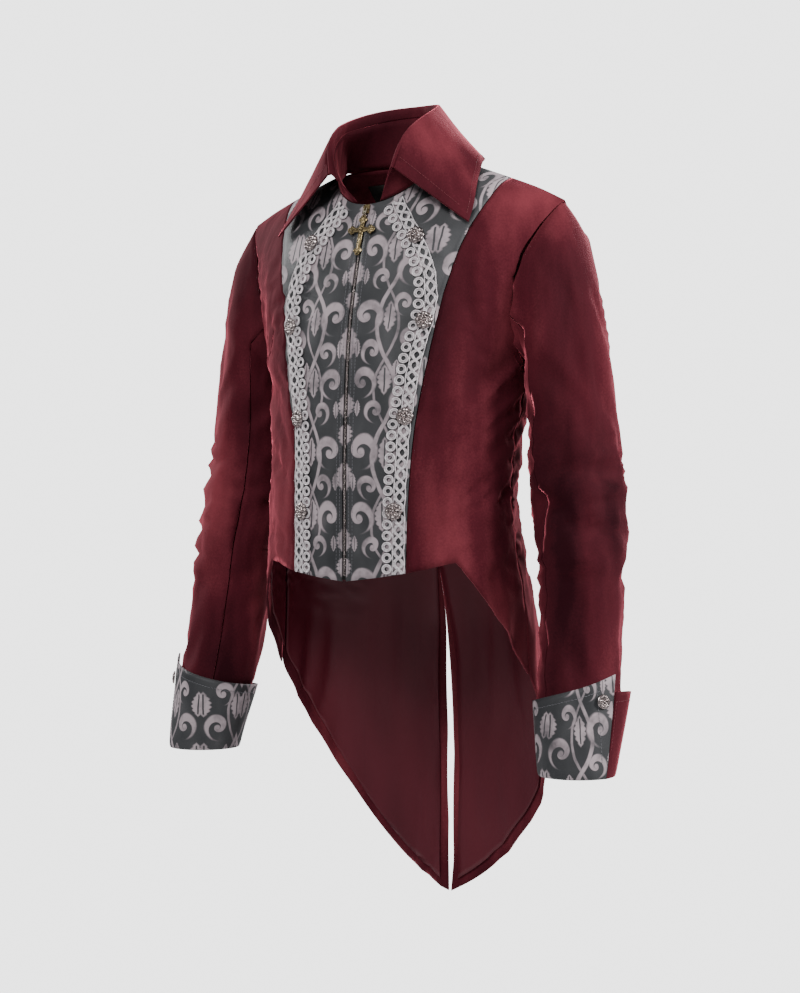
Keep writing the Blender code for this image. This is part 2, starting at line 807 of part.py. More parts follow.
def neck_point(place):
    """Foot of the collar, from its front end at 0 to the centre back at 1, off the neck edge."""
    if place <= 0.5:
        surface, s = FRONT_FACETS, COLLAR_START + (NECK_SHARE - COLLAR_START) * place * 2
    else:
        surface, s = BACK_FACETS, 1 - BACK_NECK_SHARE * (1 - place) * 2
    edge = surface(s, 0.0)
    return edge + (edge - surface(s, 0.01)).normalized() * COLLAR_GAP


def collar_columns():
    """The collar's own columns: the neck edge's corners and the middles between them."""
    front = [(s - COLLAR_START) / (NECK_SHARE - COLLAR_START) / 2 for s in FRONT_PANEL[1][1:4]]
    corners = [0.0] + front + [0.5, 0.75, 1.0]
    places = sorted(corners + [(a + b) / 2 for a, b in zip(corners, corners[1:])])
    half = [place / 2 for place in places]
    return half + [1 - value for value in half[-2::-1]]


def collar_frame(s):
    """Neck edge, roll and outer edge of the collar, from the wearer's left front round the back."""
    place = 2 * s
    side = 1 if place <= 1 else -1
    base = neck_point(place if place <= 1 else 2 - place)
    base.x *= side
    base.z += COLLAR_GAP / 2
    rows = COLLAR + [row._replace(share=2 - row.share) for row in COLLAR[-2::-1]]
    places = [row.share for row in rows]

    def value(name):
        return Vector(
            [
                smooth_value(
                    places,
                    [
                        getattr(row, f"{name}_{axis}") * (-1 if axis == "x" and i >= len(COLLAR) else 1)
                        for i, row in enumerate(rows)
                    ],
                    place,
                )
                for axis in "xyz"
            ]
        )

    return base, value("roll"), value("edge")


def collar_seam(base, roll):
    return roll + (base - roll).normalized() * COLLAR_SEAM_DROP


def stand_point(s, t):
    """Collar stand, seen from inside the neck: s from the wearer's right, t downwards."""
    base, roll, _ = collar_frame(1 - s)
    return collar_seam(base, roll).lerp(base, t)


def fall_point(s, t):
    """Collar fall: up from its inner seam, over the roll and down to the outer edge."""
    base, roll, edge = collar_frame(s)
    up = (roll - base).normalized()
    out = edge - roll
    out.z = 0
    out.normalize()
    over = roll + out * FOLD_WIDTH - up * 0.0015
    down = edge - over
    points = [
        collar_seam(base, roll),
        roll - up * 0.0025,
        roll + out * FOLD_WIDTH / 2,
        over,
        over + down / 2,
        edge,
    ]
    return Vector([smooth_value(FALL_PLACES, [p[axis] for p in points], t) for axis in range(3)])


def facets(panel):
    """A panel's outer face with its flat faces, from its own grid points: what trims lie on."""
    place, shares, drops = panel
    point_of, bump = on_body(place), body_bump(place)

    @lru_cache(maxsize=None)
    def corner(i, j):
        s, t = shares[i], drops[j]
        return point_of(s, t) + surface_normal(point_of, s, t) * bump(s, t)

    def cell(values, at):
        i = min(max(bisect_right(values, at) - 1, 0), len(values) - 2)
        return i, (at - values[i]) / (values[i + 1] - values[i])

    def point(s, t):
        i, a = cell(shares, s)
        j, b = cell(drops, t)
        upper = corner(i, j).lerp(corner(i + 1, j), a)
        lower = corner(i, j + 1).lerp(corner(i + 1, j + 1), a)
        return upper.lerp(lower, b)

    return point


def drop_at(place, s, z):
    """The share of a panel's drop at which it reaches a height."""
    top, foot = place(s, 0.0)[1], place(s, 1.0)[1]
    return (z - top) / (foot - top)


def neck_lining_point(s, t):
    """Inside of both backs below the collar: s to the wearer's left."""
    panel_s = 1 - NECK_LINING_SHARE * abs(1 - 2 * s)
    start, stop = 0.014, drop_at(back_place, panel_s, NECK_LINING_FOOT)
    point = BACK_FACETS(panel_s, start + (stop - start) * t)
    return Vector((-point.x, point.y, point.z)) if s < 0.5 else point


def tail_lining_point(s, t):
    """Inside of one back with its tail: s from the centre back to the side seam."""
    panel_s = 1 - (1 - LINING_SEAM) * s
    start = drop_at(back_place, panel_s, TAIL_LINING_TOP)
    inset = edge_height(TAIL_LINING_INSET, 1 - s)
    stop = drop_at(back_place, panel_s, back_place(panel_s, 1.0)[1] + inset)
    drop = start + (stop - start) * t
    point = BACK_FACETS(panel_s, drop)
    beside = BACK_FACETS(panel_s - 0.05, drop) - point
    facing = TAIL_FACING * min(max((TAIL_LINING_TOP - point.z) / 0.1, 0.0), 1.0)
    return point + beside.normalized() * facing * (1 - s) ** 3


def side_lining_point(s, t):
    """Inside of one side front's lower corner: s from the side seam to the cutaway edge."""
    panel_s = 1 - LINING_SEAM - (1 - LINING_SEAM - SIDE_LINING_SHARE) * s
    start = drop_at(side_front_place, panel_s, SIDE_LINING_TOP)
    inset = edge_height(TAIL_LINING_INSET, 0.0)
    stop = drop_at(side_front_place, panel_s, side_front_place(panel_s, 1.0)[1] + inset)
    return SIDE_FACETS(panel_s, start + (stop - start) * t)


def build_cuffs():
    build_pair(
        "cuff_front",
        cuff_surface(CUFF_SPLIT_ANGLE, CUFF_EDGE_ANGLE, CUFF_FRONT),
        [0.0, 0.1, 0.2, 0.3, 0.4, 0.5, 0.6, 0.7, 0.8, 0.9, 1.0],
        CUFF_ROWS,
        FIGURED_WALL,
        FIGURED,
    )
    build_pair(
        "cuff_back",
        cuff_surface(CUFF_EDGE_ANGLE + 360, CUFF_SPLIT_ANGLE, CUFF_BACK),
        spread(5),
        CUFF_ROWS,
        VELVET_WALL,
        VELVET,
    )


def build_collar():
    columns = collar_columns()
    cloth_wall("collar_stand", stand_point, columns, spread(2), VELVET_WALL, VELVET, VELVET_WALL)
    cloth_wall("collar_fall", fall_point, columns, FALL_ROWS, VELVET_WALL, VELVET, VELVET_WALL)


def build_linings():
    lift = VELVET_WALL + LINING_GAP + LINING_WALL
    cloth_wall("neck_lining", neck_lining_point, spread(8), spread(4), LINING_WALL, LINING, lift)
    tail = [min((1 - share) / (1 - LINING_SEAM), 1.0) for share in reversed(BACK_PANEL[1])]
    build_pair("tail_lining", tail_lining_point, tail, spread(13), LINING_WALL, SATIN, lift)
    width = 1 - LINING_SEAM - SIDE_LINING_SHARE
    side = [(1 - LINING_SEAM - share) / width for share in reversed(SIDE_PANEL[1][3:-1])]
    side = [0.0] + side + [1.0]
    lift += LAYER_GAP
    build_pair("side_lining", side_lining_point, side, spread(6), LINING_WALL, SATIN, lift)


@lru_cache(maxsize=None)
def lace_line():
    """Points along the lace's path at every millimetre of height, with their lengths."""
    count = round((LACE_PATH[0].z - LACE_PATH[-1].z) / MM)
    points, lengths = [], [0.0]
    for i in range(count + 1):
        z = LACE_PATH[0].z - i * MM
        points.append(Vector((read_table(LACE_PATH, "z", "x", z), z)))
        if i:
            lengths.append(lengths[-1] + (points[-1] - points[-2]).length)
    return points, lengths


def lace_point(along, across, lift):
    """Point over the left centre front, along the lace and across it towards the side."""
    points, lengths = lace_line()
    i = min(max(bisect_right(lengths, along) - 1, 0), len(points) - 2)
    tangent = (points[i + 1] - points[i]).normalized()
    middle = points[i] + tangent * (along - lengths[i])
    x, z = middle + Vector((-tangent.y, tangent.x)) * across
    return front_point(x, z, lift)


def front_point(x, z, lift):
    """Point over the left centre front at a width and a height."""
    angle = angle_at(round(x, 6), round(z, 6))
    s = (angle - zip_angle(z)) / (princess_angle(z) - zip_angle(z))
    t = drop_at(centre_front_place, s, z)
    return FRONT_FACETS(s, t) + surface_normal(FRONT_FACETS, s, t) * lift


def polygon(curve, points):
    spline = curve.splines.new("POLY")
    spline.points.add(len(points) - 1)
    for target, (x, y) in zip(spline.points, points):
        target.co = (x, y, 0, 1)
    spline.use_cyclic_u = True


def round_points(x, y, radius_x, radius_y, count):
    turns = [2 * math.pi * i / count for i in range(count)]
    return [(x + radius_x * math.cos(a), y + radius_y * math.sin(a)) for a in turns]


def flat_mesh(name, outlines, thickness):
    """A flat piece cut from a sheet, in millimetres: the first outline with the others as holes."""
    curve = bpy.data.curves.new(name, "CURVE")
    curve.dimensions = "2D"
    curve.fill_mode = "BOTH"
    curve.extrude = thickness / 2
    for outline in outlines:
        polygon(curve, outline)
    source = bpy.data.objects.new(name, curve)
    coat.objects.link(source)
    graph = bpy.context.evaluated_depsgraph_get()
    mesh = bpy.data.meshes.new_from_object(source.evaluated_get(graph))
    bpy.data.objects.remove(source)
    shape = bmesh.new()
    shape.from_mesh(mesh)
    bmesh.ops.remove_doubles(shape, verts=shape.verts[:], dist=0.01)
    return shape


def lace_sheet(length):
    """One lace as a flat sheet, in millimetres along and across, a ring and a braid eye a pitch."""
    rings = round(length / LACE_PITCH)
    pitch = length / MM / rings
    ring, hole, braid = LACE_RING / MM, LACE_RING_HOLE / MM, LACE_BRAID / MM
    middle = pitch / 2
    scallop = [math.radians(turn) for turn in (-140, -90, -40)]
    outline = [(0, 0)] + [(middle + ring * math.cos(a), ring * math.sin(a)) for a in scallop]
    outline += [(pitch, 0), (pitch, braid - LACE_NOTCH), (middle, braid), (0, braid - LACE_NOTCH)]
    eye = (LACE_EYE_LENGTH / MM / 2, LACE_EYE_WIDTH / MM / 2)
    holes = [
        round_points(middle, 0, hole, hole, 6),
        round_points(middle, LACE_EYE_CENTRE / MM, *eye, 4),
    ]
    cell = flat_mesh("lace_cell", [outline] + holes, 0.0)
    cell_mesh = bpy.data.meshes.new("lace_cell")
    cell.to_mesh(cell_mesh)
    cell.free()
    sheet = bmesh.new()
    for _ in range(rings):
        bmesh.ops.translate(sheet, vec=(pitch, 0, 0), verts=sheet.verts[:])
        sheet.from_mesh(cell_mesh)
    bmesh.ops.remove_doubles(sheet, verts=sheet.verts[:], dist=0.05)
    bmesh.ops.recalc_face_normals(sheet, faces=sheet.faces[:])
    raised = bmesh.ops.extrude_face_region(sheet, geom=sheet.faces[:], use_keep_orig=True)
    upper = [item for item in raised["geom"] if isinstance(item, bmesh.types.BMVert)]
    bmesh.ops.translate(sheet, vec=(0, 0, 1), verts=upper)
    return sheet


def build_laces():
    length = lace_line()[1][-1]
    for side, sign in (("left", 1), ("right", -1)):
        sheet = lace_sheet(length)
        for vert in sheet.verts:
            lift = LACE_GAP + LACE_WALL * vert.co.z
            vert.co = lace_point(vert.co.x * MM, vert.co.y * MM, lift)
            vert.co.x *= sign
        turn_outwards(sheet)
        finish_object(f"lace_{side}", sheet, LACE, smooth=False)


def facing_matrix(point, normal):
    """Stands a piece with its +Z along a normal at a point."""
    return Matrix.Translation(point) @ normal.to_track_quat("Z", "Y").to_matrix().to_4x4()


def button_mesh(radius, height, lobed):
    """A round button with its back at z = 0; lobed ones have eight petals."""
    shape = bmesh.new()
    bmesh.ops.create_cone(
        shape, cap_ends=True, segments=16, radius1=radius, radius2=radius * 0.6, depth=height
    )
    for vert in shape.verts:
        vert.co.z += height / 2
        turn = round(math.degrees(math.atan2(vert.co.y, vert.co.x)) / 22.5)
        if lobed and vert.co.z < height / 2 and turn % 2:
            vert.co.xy *= 0.84
    return shape


def rosette_seat(spot):
    """Place and direction of a rosette: square to the lace, clear of the highest of it below."""
    top = LACE_GAP + LACE_WALL
    middle = front_point(spot.x, spot.z, top)
    normal = (middle - front_point(spot.x, spot.z, 0.0)).normalized()
    rim = round_points(spot.x, spot.z, ROSETTE_RADIUS, ROSETTE_RADIUS, 12)
    heights = [(front_point(x, z, top) - middle).dot(normal) for x, z in rim]
    return middle + normal * (max(heights + [0.0]) + ROSETTE_GAP), normal


def build_buttons():
    for side, sign in (("left", 1), ("right", -1)):
        for number, spot in enumerate(ROSETTES, 1):
            shape = button_mesh(ROSETTE_RADIUS, ROSETTE_HEIGHT, True)
            shape.transform(facing_matrix(*rosette_seat(spot)))
            mirror_shape(shape, sign)
            finish_object(f"rosette_{side}_{number}", shape, SILVER)
        front = cuff_surface(CUFF_SPLIT_ANGLE, CUFF_EDGE_ANGLE, CUFF_FRONT)
        share = (CUFF_SPLIT_ANGLE - CUFF_BUTTON_ANGLE) / (CUFF_SPLIT_ANGLE - CUFF_EDGE_ANGLE)
        normal = surface_normal(front, share, CUFF_BUTTON_DROP)
        point = front(share, CUFF_BUTTON_DROP)
        shape = button_mesh(CUFF_BUTTON_RADIUS, CUFF_BUTTON_HEIGHT, False)
        shape.transform(facing_matrix(point, normal))
        mirror_shape(shape, sign)
        finish_object(f"cuff_button_{side}", shape, SILVER)


def mirror_shape(shape, sign):
    if sign < 0:
        shape.transform(Matrix.Diagonal((-1, 1, 1, 1)))
        bmesh.ops.reverse_faces(shape, faces=shape.faces[:])


def build_zip():
    for name, half_width, lift, wall, part in (
        ("zip_tape", TAPE_HALF_WIDTH, -FIGURED_WALL - LAYER_GAP, LINING_WALL, LINING),
        ("zip_chain", CHAIN_HALF_WIDTH, -FIGURED_WALL + CHAIN_WALL, CHAIN_WALL, BRASS),
    ):

        def point(s, t):
            z = centre_front_place(0.0, 0.004 + 0.990 * t)[1]
            x = half_width * (2 * s - 1)
            found = body_point(angle_at(round(x, 6), round(z, 6)), z)
            found.x = x
            return found

        cloth_wall(name, point, spread(2), FRONT_PANEL[2], wall, part, lift, gap=0.0)


def pull_frame():
    """Frame of the slider and what hangs from it, in millimetres."""
    origin = body_point(0.0, PULL_HEIGHT)
    up = (origin - body_point(0.0, PULL_HEIGHT - PULL_SPAN)).normalized()
    across = Vector((1, 0, 0))
    rotation = Matrix((across, up.cross(across), up)).transposed().to_4x4()
    return Matrix.Translation(origin) @ rotation @ Matrix.Scale(MM, 4)


def box_mesh(size, centre):
    shape = bmesh.new()
    bmesh.ops.create_cube(shape, size=1.0)
    bmesh.ops.scale(shape, vec=size, verts=shape.verts[:])
    bmesh.ops.translate(shape, vec=centre, verts=shape.verts[:])
    return shape


def standing(shape):
    """Stands a flat piece up: its outline's y becomes z, its thickness lies along y."""
    shape.transform(Matrix.Rotation(math.radians(90), 4, "X"))
    return shape


def build_slider():
    """Slider: a wing over the zip's edges, with the bridge that carries the pull tab."""
    wing_y = -SLIDER_LIFT - SLIDER_WING.y / 2
    slider = finish_object("zip_slider", box_mesh(SLIDER_WING, (0, wing_y, 0)), BRASS)
    hole_y, hole_z = BRIDGE_HOLE
    depth = hole_y + 2 * BRIDGE_WALL
    bridge = box_mesh(
        (BRIDGE_WIDTH, depth, hole_z + 2 * BRIDGE_WALL), (0, -HINGE_LIFT, 0)
    )
    hole = box_mesh((BRIDGE_WIDTH * 3, hole_y, hole_z), (0, -HINGE_LIFT, 0))
    for name, shape, operation in (("bridge", bridge, "UNION"), ("bridge_hole", hole, "DIFFERENCE")):
        mesh = bpy.data.meshes.new(name)
        shape.to_mesh(mesh)
        shape.free()
        cutter = bpy.data.objects.new(name, mesh)
        cutters.objects.link(cutter)
        cutter.hide_render = True
        cutter.display_type = "WIRE"
        cutter.matrix_world = pull_frame()
        modifier = slider.modifiers.new(name, "BOOLEAN")
        modifier.operation = operation
        modifier.object = cutter
    slider.matrix_world = pull_frame()


def build_pull_tab():
    """Pull tab: a small plate whose window's upper bar turns in the slider's bridge."""
    half, top, foot = TAB_WINDOW
    window = [(-half, -top), (half, -top), (half, -foot), (-half, -foot)]
    hole_at, hole_radius = TAB_HOLE
    outline = [
        (-TAB_HALF_WIDTH, top),
        (-TAB_HALF_WIDTH, -foot),
        (-TAB_HALF_WIDTH * 0.75, -TAB_LENGTH + 0.8),
        (-TAB_HALF_WIDTH * 0.4, -TAB_LENGTH),
        (TAB_HALF_WIDTH * 0.4, -TAB_LENGTH),
        (TAB_HALF_WIDTH * 0.75, -TAB_LENGTH + 0.8),
        (TAB_HALF_WIDTH, -foot),
        (TAB_HALF_WIDTH, top),
    ]
    hole = round_points(0, -hole_at, hole_radius, hole_radius, 8)
    tab = finish_object(
        "pull_tab", standing(flat_mesh("pull_tab", [outline, window, hole], TAB_THICKNESS)), BRASS
    )
    tab.matrix_world = pull_frame() @ Matrix.Translation((0, -HINGE_LIFT, 0))


def cross_outline():
    """Outline of the cross round its centre: four arms with trefoil ends."""
    points = []
    for length, turn in ((CROSS_UP, 0), (CROSS_SIDE, 90), (CROSS_DOWN, 180), (CROSS_SIDE, 270)):
        arm = [(p.across, length - p.from_end) for p in CROSS_ARM]
        arm = [(CROSS_CORNER, CROSS_CORNER)] + arm
        arm += [(-x, y) for x, y in arm[:0:-1]]
        angle = math.radians(turn)
        points += [
            (x * math.cos(angle) - y * math.sin(angle), x * math.sin(angle) + y * math.cos(angle))
            for x, y in arm
        ]
    return points


def build_cross():
    """Cross with its jump ring: both turn about the ring's own middle."""
    middle = TAB_HOLE[0] + RING_RADIUS
    frame = pull_frame() @ Matrix.Translation((0, -HINGE_LIFT, -middle))
    bpy.ops.mesh.primitive_torus_add(
        major_segments=16,
        minor_segments=6,
        major_radius=RING_RADIUS,
        minor_radius=RING_WIRE,
        rotation=(0, math.radians(90), 0),
    )
    torus = bpy.context.object
    ring = torus.data
    ring.transform(torus.matrix_basis)
    bpy.data.objects.remove(torus)
    finish_object("jump_ring", ring, BRASS).matrix_world = frame
    tips = [
        (0.0, CROSS_UP - CROSS_HOLE_INSET),
        (CROSS_SIDE - CROSS_HOLE_INSET, 0.0),
        (-CROSS_SIDE + CROSS_HOLE_INSET, 0.0),
        (0.0, -CROSS_DOWN + CROSS_HOLE_INSET),
    ]
    holes = [round_points(x, y, CROSS_HOLE, CROSS_HOLE, 6) for x, y in tips]
    shape = standing(flat_mesh("cross", [cross_outline()] + holes, CROSS_THICKNESS))
    cross = finish_object("cross", shape, BRASS)
    drop = RING_RADIUS + CROSS_UP - CROSS_HOLE_INSET
    cross.matrix_world = frame @ Matrix.Translation((0, 0, -drop))


def make_collection(name):
    collection = bpy.data.collections.new(name)
    bpy.context.scene.collection.children.link(collection)
    return collection


for old in list(bpy.data.objects):
    bpy.data.objects.remove(old)

coat = make_collection("tailcoat")
cutters = make_collection("cutters")
FRONT_FACETS = facets(FRONT_PANEL)
SIDE_FACETS = facets(SIDE_PANEL)
BACK_FACETS = facets(BACK_PANEL)
build_body()
build_sleeves()
build_cuffs()
build_collar()
build_linings()
build_laces()
build_buttons()
build_zip()
build_slider()
build_pull_tab()
build_cross()
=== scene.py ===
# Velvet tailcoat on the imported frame: crushed velvet, figured satin fronts, lace, zip and cross pull
import math

import bmesh
import bpy
from mathutils import Matrix, Vector, noise
from mathutils.bvhtree import BVHTree


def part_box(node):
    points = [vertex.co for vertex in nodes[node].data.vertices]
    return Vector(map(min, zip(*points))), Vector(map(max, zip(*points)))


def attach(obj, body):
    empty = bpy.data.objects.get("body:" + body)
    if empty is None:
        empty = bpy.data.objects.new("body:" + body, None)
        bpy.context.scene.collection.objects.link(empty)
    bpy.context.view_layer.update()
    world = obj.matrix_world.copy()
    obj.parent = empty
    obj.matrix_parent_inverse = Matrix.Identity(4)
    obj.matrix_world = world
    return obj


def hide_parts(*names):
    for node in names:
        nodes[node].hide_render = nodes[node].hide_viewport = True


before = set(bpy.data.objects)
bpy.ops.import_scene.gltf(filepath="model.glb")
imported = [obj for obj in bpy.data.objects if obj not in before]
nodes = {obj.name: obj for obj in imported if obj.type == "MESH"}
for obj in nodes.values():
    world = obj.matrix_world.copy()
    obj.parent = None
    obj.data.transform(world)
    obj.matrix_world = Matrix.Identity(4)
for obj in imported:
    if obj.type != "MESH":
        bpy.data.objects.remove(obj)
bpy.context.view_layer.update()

# Camera: level, on the wearer's left front
camera = {"lens": 70.4, "sensor": 36.0, "azimuth": 30.0, "distance": 2.33, "aside": -0.0096, "height": -0.385}


def placeCamera():
    turn = math.radians(camera["azimuth"])
    ahead = Vector((-math.sin(turn), math.cos(turn), 0))
    right = Vector((math.cos(turn), math.sin(turn), 0))
    data = bpy.data.cameras.new("photoCamera")
    data.lens = camera["lens"]
    data.sensor_width = camera["sensor"]
    data.sensor_fit = "AUTO"
    eye = bpy.data.objects.new("photoCamera", data)
    eye.location = ahead * -camera["distance"] + right * camera["aside"] + Vector((0, 0, camera["height"]))
    eye.rotation_euler = (math.radians(90), 0, turn)
    bpy.context.scene.collection.objects.link(eye)
    bpy.context.scene.camera = eye


placeCamera()
print("camera placed")


# Materials: nodes from one function, and shader values with the usual sums and products
def addNode(tree, kind, settings, sockets):
    node = tree.nodes.new(kind)
    for name, value in settings.items():
        setattr(node, name, value)
    for name, value in sockets.items():
        if isinstance(value, Value):
            tree.links.new(value.socket, node.inputs[name])
        elif isinstance(value, bpy.types.NodeSocket):
            tree.links.new(value, node.inputs[name])
        else:
            node.inputs[name].default_value = value
    return node


class Value:
    def __init__(self, tree, socket):
        self.tree = tree
        self.socket = socket

    def step(self, kind, *others, clamp=False):
        settings = {"operation": kind, "use_clamp": clamp}
        node = addNode(self.tree, "ShaderNodeMath", settings, dict(enumerate((self, *others))))
        return Value(self.tree, node.outputs[0])

    def __add__(self, other):
        return self.step("ADD", other)

    def __sub__(self, other):
        return self.step("SUBTRACT", other)

    def __mul__(self, other):
        return self.step("MULTIPLY", other)

    def __truediv__(self, other):
        return self.step("DIVIDE", other)

    def __rsub__(self, other):
        return self * -1 + other

    __radd__ = __add__
    __rmul__ = __mul__

    def wave(self):
        return self.step("SINE")

    def size(self):
        return self.step("ABSOLUTE")

    def part(self):
        return self.step("FRACT")

    def below(self, limit, soft):
        # 1 well below the limit and 0 above it, over a soft width
        return ((limit - self) / soft + 0.5).step("ADD", 0.0, clamp=True)

    def above(self, limit, soft):
        return ((self - limit) / soft + 0.5).step("ADD", 0.0, clamp=True)

    def most(self, other):
        return self.step("MAXIMUM", other)


class Finish:
    def __init__(
        self, name, roughness, metallic=0.0, sheen=0.0, sheenTint=(1, 1, 1), sheenRoughness=0.3, specular=0.5
    ):
        self.material = bpy.data.materials.new(name)
        self.material.use_nodes = True
        self.tree = self.material.node_tree
        self.shader = self.tree.nodes["Principled BSDF"]
        plain = {
            "Roughness": roughness,
            "Metallic": metallic,
            "Specular IOR Level": specular,
            "Sheen Weight": sheen,
            "Sheen Tint": (*sheenTint, 1),
            "Sheen Roughness": sheenRoughness,
        }
        for name, value in plain.items():
            self.shader.inputs[name].default_value = value
        self.place = self.node("ShaderNodeTexCoord", {}, {}).outputs["Object"]

    def node(self, kind, settings, sockets):
        return addNode(self.tree, kind, settings, sockets)

    def axes(self):
        node = self.node("ShaderNodeSeparateXYZ", {}, {0: self.place})
        return [Value(self.tree, socket) for socket in node.outputs]

    def noise(self, scale, detail=3.0, roughness=0.55, stretch=(1, 1, 1)):
        mapping = self.node("ShaderNodeMapping", {}, {"Scale": stretch, "Vector": self.place})
        sockets = {"Scale": scale, "Detail": detail, "Roughness": roughness, "Vector": mapping.outputs[0]}
        return Value(self.tree, self.node("ShaderNodeTexNoise", {}, sockets).outputs[0])

    def colour(self, value, stops):
        node = self.node("ShaderNodeValToRGB", {}, {0: value})
        while len(node.color_ramp.elements) < len(stops):
            node.color_ramp.elements.new(0.5)
        for element, (place, colour) in zip(node.color_ramp.elements, stops):
            element.position = place
            element.color = (*colour, 1)
        self.tree.links.new(node.outputs[0], self.shader.inputs["Base Color"])

    def roughness(self, value):
        self.tree.links.new(value.socket, self.shader.inputs["Roughness"])

    def bump(self, value, distance, strength=1.0):
        node = self.node("ShaderNodeBump", {}, {"Distance": distance, "Strength": strength, "Height": value})
        self.tree.links.new(node.outputs[0], self.shader.inputs["Normal"])


# side, height in the repeat, size and turning way of each scroll, and the leaves' sizes, in metres
damask = {
    "repeat": 0.152,
    "stem": 0.047,
    "sway": 0.013,
    "scrolls": [
        (0.021, 0.046, 0.0200, 1), (0.031, 0.006, 0.0140, -1), (0.020, -0.028, 0.0180, 1),
        (0.072, -0.052, 0.0190, -1), (0.072, 0.020, 0.0170, 1), (0.036, -0.062, 0.0130, -1),
        (0.066, 0.060, 0.0130, -1),
    ],
    "leaves": [
        (0.0, 0.066, 0.014, 0.010), (0.0, 0.016, 0.019, 0.012), (0.0, -0.054, 0.016, 0.011),
        (0.049, 0.045, 0.017, 0.008), (0.047, -0.026, 0.018, 0.009), (0.090, 0.048, 0.015, 0.010),
        (0.090, -0.018, 0.018, 0.011), (0.012, 0.010, 0.010, 0.004), (0.014, -0.058, 0.010, 0.004),
        (0.060, -0.012, 0.010, 0.005),
    ],
}


def velvetFinish():
    finish = Finish(
        "velvetPile", 0.70, sheen=1.0, sheenTint=(0.95, 0.20, 0.26), sheenRoughness=0.30, specular=0.08
    )
    # Base colour mottle: partly the crushed pile's own tone, partly painted highlights and painted shade laid
    # in as broad bright and dark patches
    crushAndPaintedLight = finish.noise(8, 1.0, 0.4, (1, 1, 0.40))
    streak = finish.noise(26, 2.0, 0.45, (1.2, 1.2, 0.25))
    pile = finish.noise(420, 2.0, 0.6)
    shade = crushAndPaintedLight * 0.60 + streak * 0.30 + pile * 0.10
    finish.colour(
        shade, [(0.34, (0.022, 0.0022, 0.005)), (0.50, (0.068, 0.0080, 0.014)), (0.68, (0.190, 0.032, 0.043))]
    )
    finish.roughness(0.95 - streak * 0.30)
    finish.bump(streak * 0.9 + pile * 0.06 + crushAndPaintedLight * 3.0, 0.0040, 0.90)
    return finish.material


def satinFinish():
    finish = Finish("tailSatin", 0.42, sheen=0.15, sheenTint=(0.6, 0.06, 0.14), specular=0.25)
    shade = finish.noise(9, 2.0, 0.5, (1, 1, 0.3))
    finish.colour(shade, [(0.30, (0.052, 0.005, 0.010)), (0.70, (0.098, 0.011, 0.019))])
    x, y, z = finish.axes()
    weave = ((x + y) * 9000).wave() * 0.5 + (z * 9000).wave() * 0.5
    finish.bump(finish.noise(26, 2.0, 0.5, (1, 1, 0.3)) * 3 + weave * 0.05, 0.0006, 0.5)
    return finish.material


def figuredFinish(name, curved=False):
    # Damask mirrored about the zip: a tall leaf and two pairs of scrolls a repeat, inside waved stems
    finish = Finish(name, 0.40, sheen=0.05, specular=0.22)
    x, y, z = finish.axes()
    drift = finish.noise(22, 2.0, 0.5)
    sway = finish.noise(13, 1.0, 0.4, (1, 0.1, 1))
    if curved:
        sideways = (-0.063 - y).step("ARCTAN2", x.size() - 0.252) * 0.046
    else:
        sideways = x
    across = sideways.size().step("PINGPONG", 0.094) + (drift - 0.5) * 0.007
    up = (z + (sway - 0.5) * 0.012) / damask["repeat"]
    v = (up.part() - 0.5) * damask["repeat"]
    motif = None
    for side, level, size, twist in damask["scrolls"]:
        u = across - side
        w = v - level
        reach = (u * u + w * w).step("SQRT")
        turn = w.step("ARCTAN2", u * twist)
        arm = (turn + (reach / size).step("LOGARITHM", 2.718) * 3.1).step("COSINE") * -1
        curl = arm.below(-0.15, 0.40) * reach.below(size, size * 0.15) * reach.above(size * 0.16, size * 0.08)
        heart = reach.below(size * 0.20, size * 0.10)
        mark = curl.most(heart)
        motif = mark if motif is None else motif.most(mark)
    for side, level, tall, wide in damask["leaves"]:
        u = (across - side) / wide
        w = (v - level) / tall
        lobes = (w * 9.4).wave().size() * 0.28 + 0.72
        body = (u.size() / lobes + w * w).below(1.0, 0.30)
        rib = u.size().below(0.10, 0.06) * w.size().below(0.8, 0.1)
        motif = motif.most(body - rib * 0.9)
    stem = across - damask["stem"] - (up * 6.283).wave() * damask["sway"]
    motif = motif.most(stem.size().below(0.0026, 0.0014))
    twin = across - damask["stem"] - (up * 6.283 + 3.1416).wave() * damask["sway"]
    motif = motif.most(twin.size().below(0.0016, 0.0010) * 0.8)
    motif = motif.step("MAXIMUM", 0.0, clamp=True)
    fade = finish.noise(45, 3.0, 0.6)
    wear = finish.noise(600, 2.0, 0.6)
    smoke = finish.noise(30, 2.0, 0.5, (1, 1, 0.6))
    tone = motif * (fade * 1.7 - 0.08) * 0.80 + smoke.step("POWER", 2.0) * 0.55 + wear * 0.06
    finish.colour(
        tone,
        [
            (0.04, (0.024, 0.025, 0.027)), (0.28, (0.056, 0.056, 0.059)), (0.52, (0.17, 0.143, 0.153)),
            (0.90, (0.40, 0.33, 0.35)),
        ],
    )
    finish.roughness(motif * 0.15 + 0.48)
    weave = ((x + z) * 5200).wave() * 0.5 + ((x - z) * 5200).wave() * 0.5
    finish.bump(motif * 0.5 + weave * 0.08 + wear * 0.15, 0.0006, 0.7)
    return finish.material


def liningFinish():
    finish = Finish("neckLining", 0.8, specular=0.1)
    x, y, z = finish.axes()
    shade = finish.noise(60, 2.0)
    finish.colour(shade, [(0.3, (0.008, 0.008, 0.007)), (0.7, (0.022, 0.022, 0.019))])
    finish.bump((x * 6000).wave() + (z * 6000).wave(), 0.0003, 0.4)
    return finish.material


def threadFinish(name, dark, light, roughness=0.65, metallic=0.0):
    finish = Finish(name, roughness, metallic, sheen=0.2)
    shade = finish.noise(500, 2.0)
    finish.colour(shade, [(0.3, dark), (0.7, light)])
    finish.bump(finish.noise(2500, 1.0), 0.0002, 0.8)
    return finish.material


